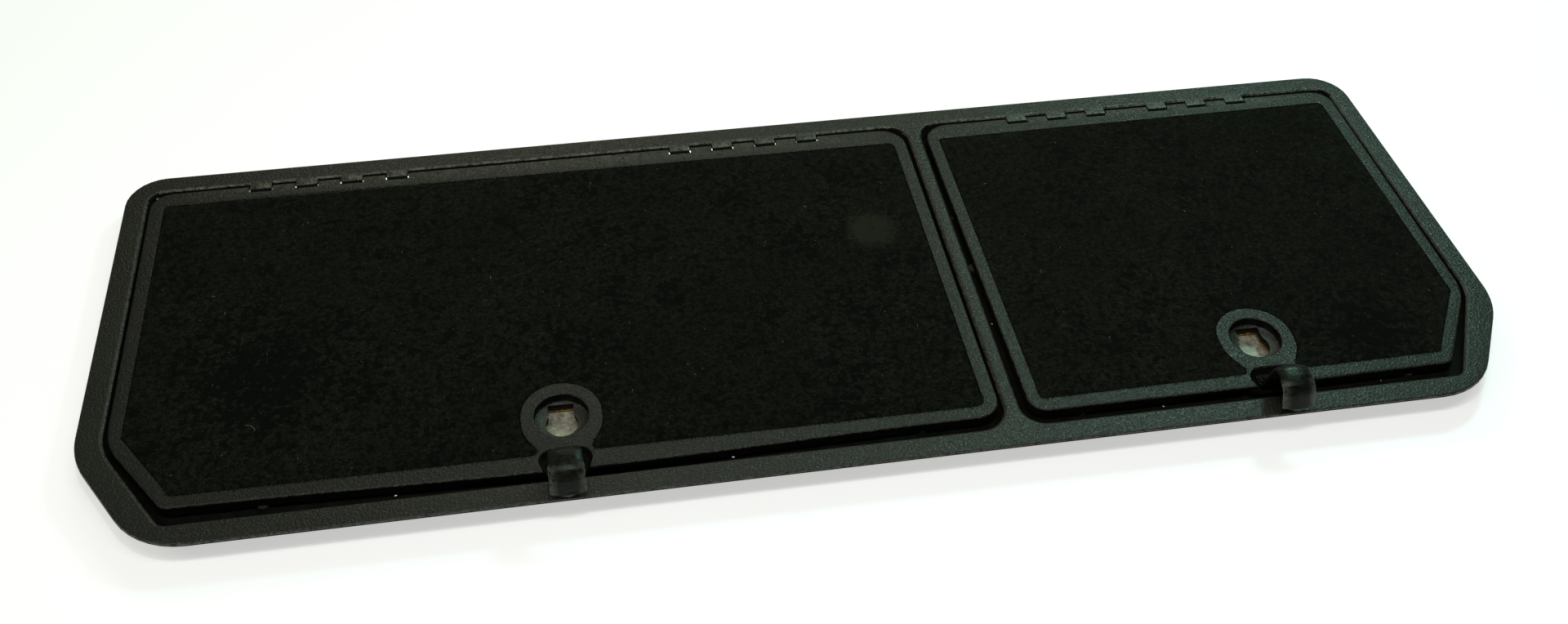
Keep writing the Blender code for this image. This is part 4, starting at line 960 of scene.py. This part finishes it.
def soft_light(name, place, target, size, watts, colour):
    """Rectangular lamp at a place, turned towards a target."""
    data = bpy.data.lights.new(name, "AREA")
    data.shape = "RECTANGLE"
    data.size, data.size_y = size
    data.energy = watts
    data.color = colour
    lamp = bpy.data.objects.new(name, data)
    lamp.location = place
    lamp.rotation_euler = (Vector(target) - Vector(place)).to_track_quat("-Z", "Y").to_euler()
    bpy.context.scene.collection.objects.link(lamp)


def light_studio():
    """Softboxes behind and above, whose mirror images on the flat plastic make its broad sheen."""
    world = bpy.data.worlds.new("studio")
    world.use_nodes = True
    world.node_tree.nodes["Background"].inputs["Color"].default_value = WORLD_COLOUR
    world.node_tree.nodes["Background"].inputs["Strength"].default_value = WORLD_STRENGTH
    bpy.context.scene.world = world
    soft_light("back softbox", place=(-0.12, 1.75, 1.35), target=(0.0, 0.1, 0.0), size=(0.7, 0.5),
               watts=4.0, colour=(1.0, 0.99, 0.76))
    soft_light("left back softbox", place=(-0.70, 2.05, 1.35), target=(-0.3, 0.1, 0.0), size=(0.5, 0.4),
               watts=0.9, colour=(1.0, 0.98, 0.72))
    soft_light("right back softbox", place=(0.85, 1.65, 1.35), target=(0.3, 0.1, 0.0), size=(0.6, 0.5),
               watts=1.8, colour=(1.0, 0.85, 0.42))
    soft_light("middle lamp", place=(0.35, 0.88, 1.35), target=(0.1, 0.0, 0.0), size=(0.5, 0.4),
               watts=0.4, colour=(0.85, 0.85, 1.0))
    soft_light("cool lamp", place=(0.98, 0.96, 1.30), target=(0.3, 0.0, 0.0), size=(0.26, 0.26),
               watts=7.6, colour=(0.52, 1.0, 0.85))
    soft_light("top strip", place=(0.0, -0.50, 1.7), target=(0.0, -0.1, 0.0), size=(1.5, 0.30),
               watts=7.5, colour=(1.0, 1.0, 0.94))
    soft_light("left softbox", place=(-1.5, -0.5, 1.5), target=(-0.1, 0.0, 0.0), size=(0.7, 0.7),
               watts=4.0, colour=(1.0, 0.98, 0.80))
    soft_light("gloss lamp", place=(-0.12, -0.45, 1.6), target=(0.0, -0.1, 0.0), size=(0.09, 0.09),
               watts=2.6, colour=(0.95, 0.99, 1.0))


def aim_camera():
    """Camera fitted to the object's outline in the photograph."""
    data = bpy.data.cameras.new("camera")
    data.lens = LENS_MM
    data.sensor_width = SENSOR_MM
    data.sensor_fit = "HORIZONTAL"
    camera = bpy.data.objects.new("camera", data)
    direction = Vector(CAMERA_TARGET) - Vector(CAMERA_PLACE)
    turn = direction.to_track_quat("-Z", "Y").to_matrix() @ Matrix.Rotation(CAMERA_ROLL, 3, "Z")
    camera.matrix_world = Matrix.Translation(CAMERA_PLACE) @ turn.to_4x4()
    bpy.context.scene.collection.objects.link(camera)
    bpy.context.scene.camera = camera
    bpy.context.scene.view_settings.view_transform = "Standard"


dress_object()
lit_table()
light_studio()
aim_camera()

bpy.context.view_layer.update()
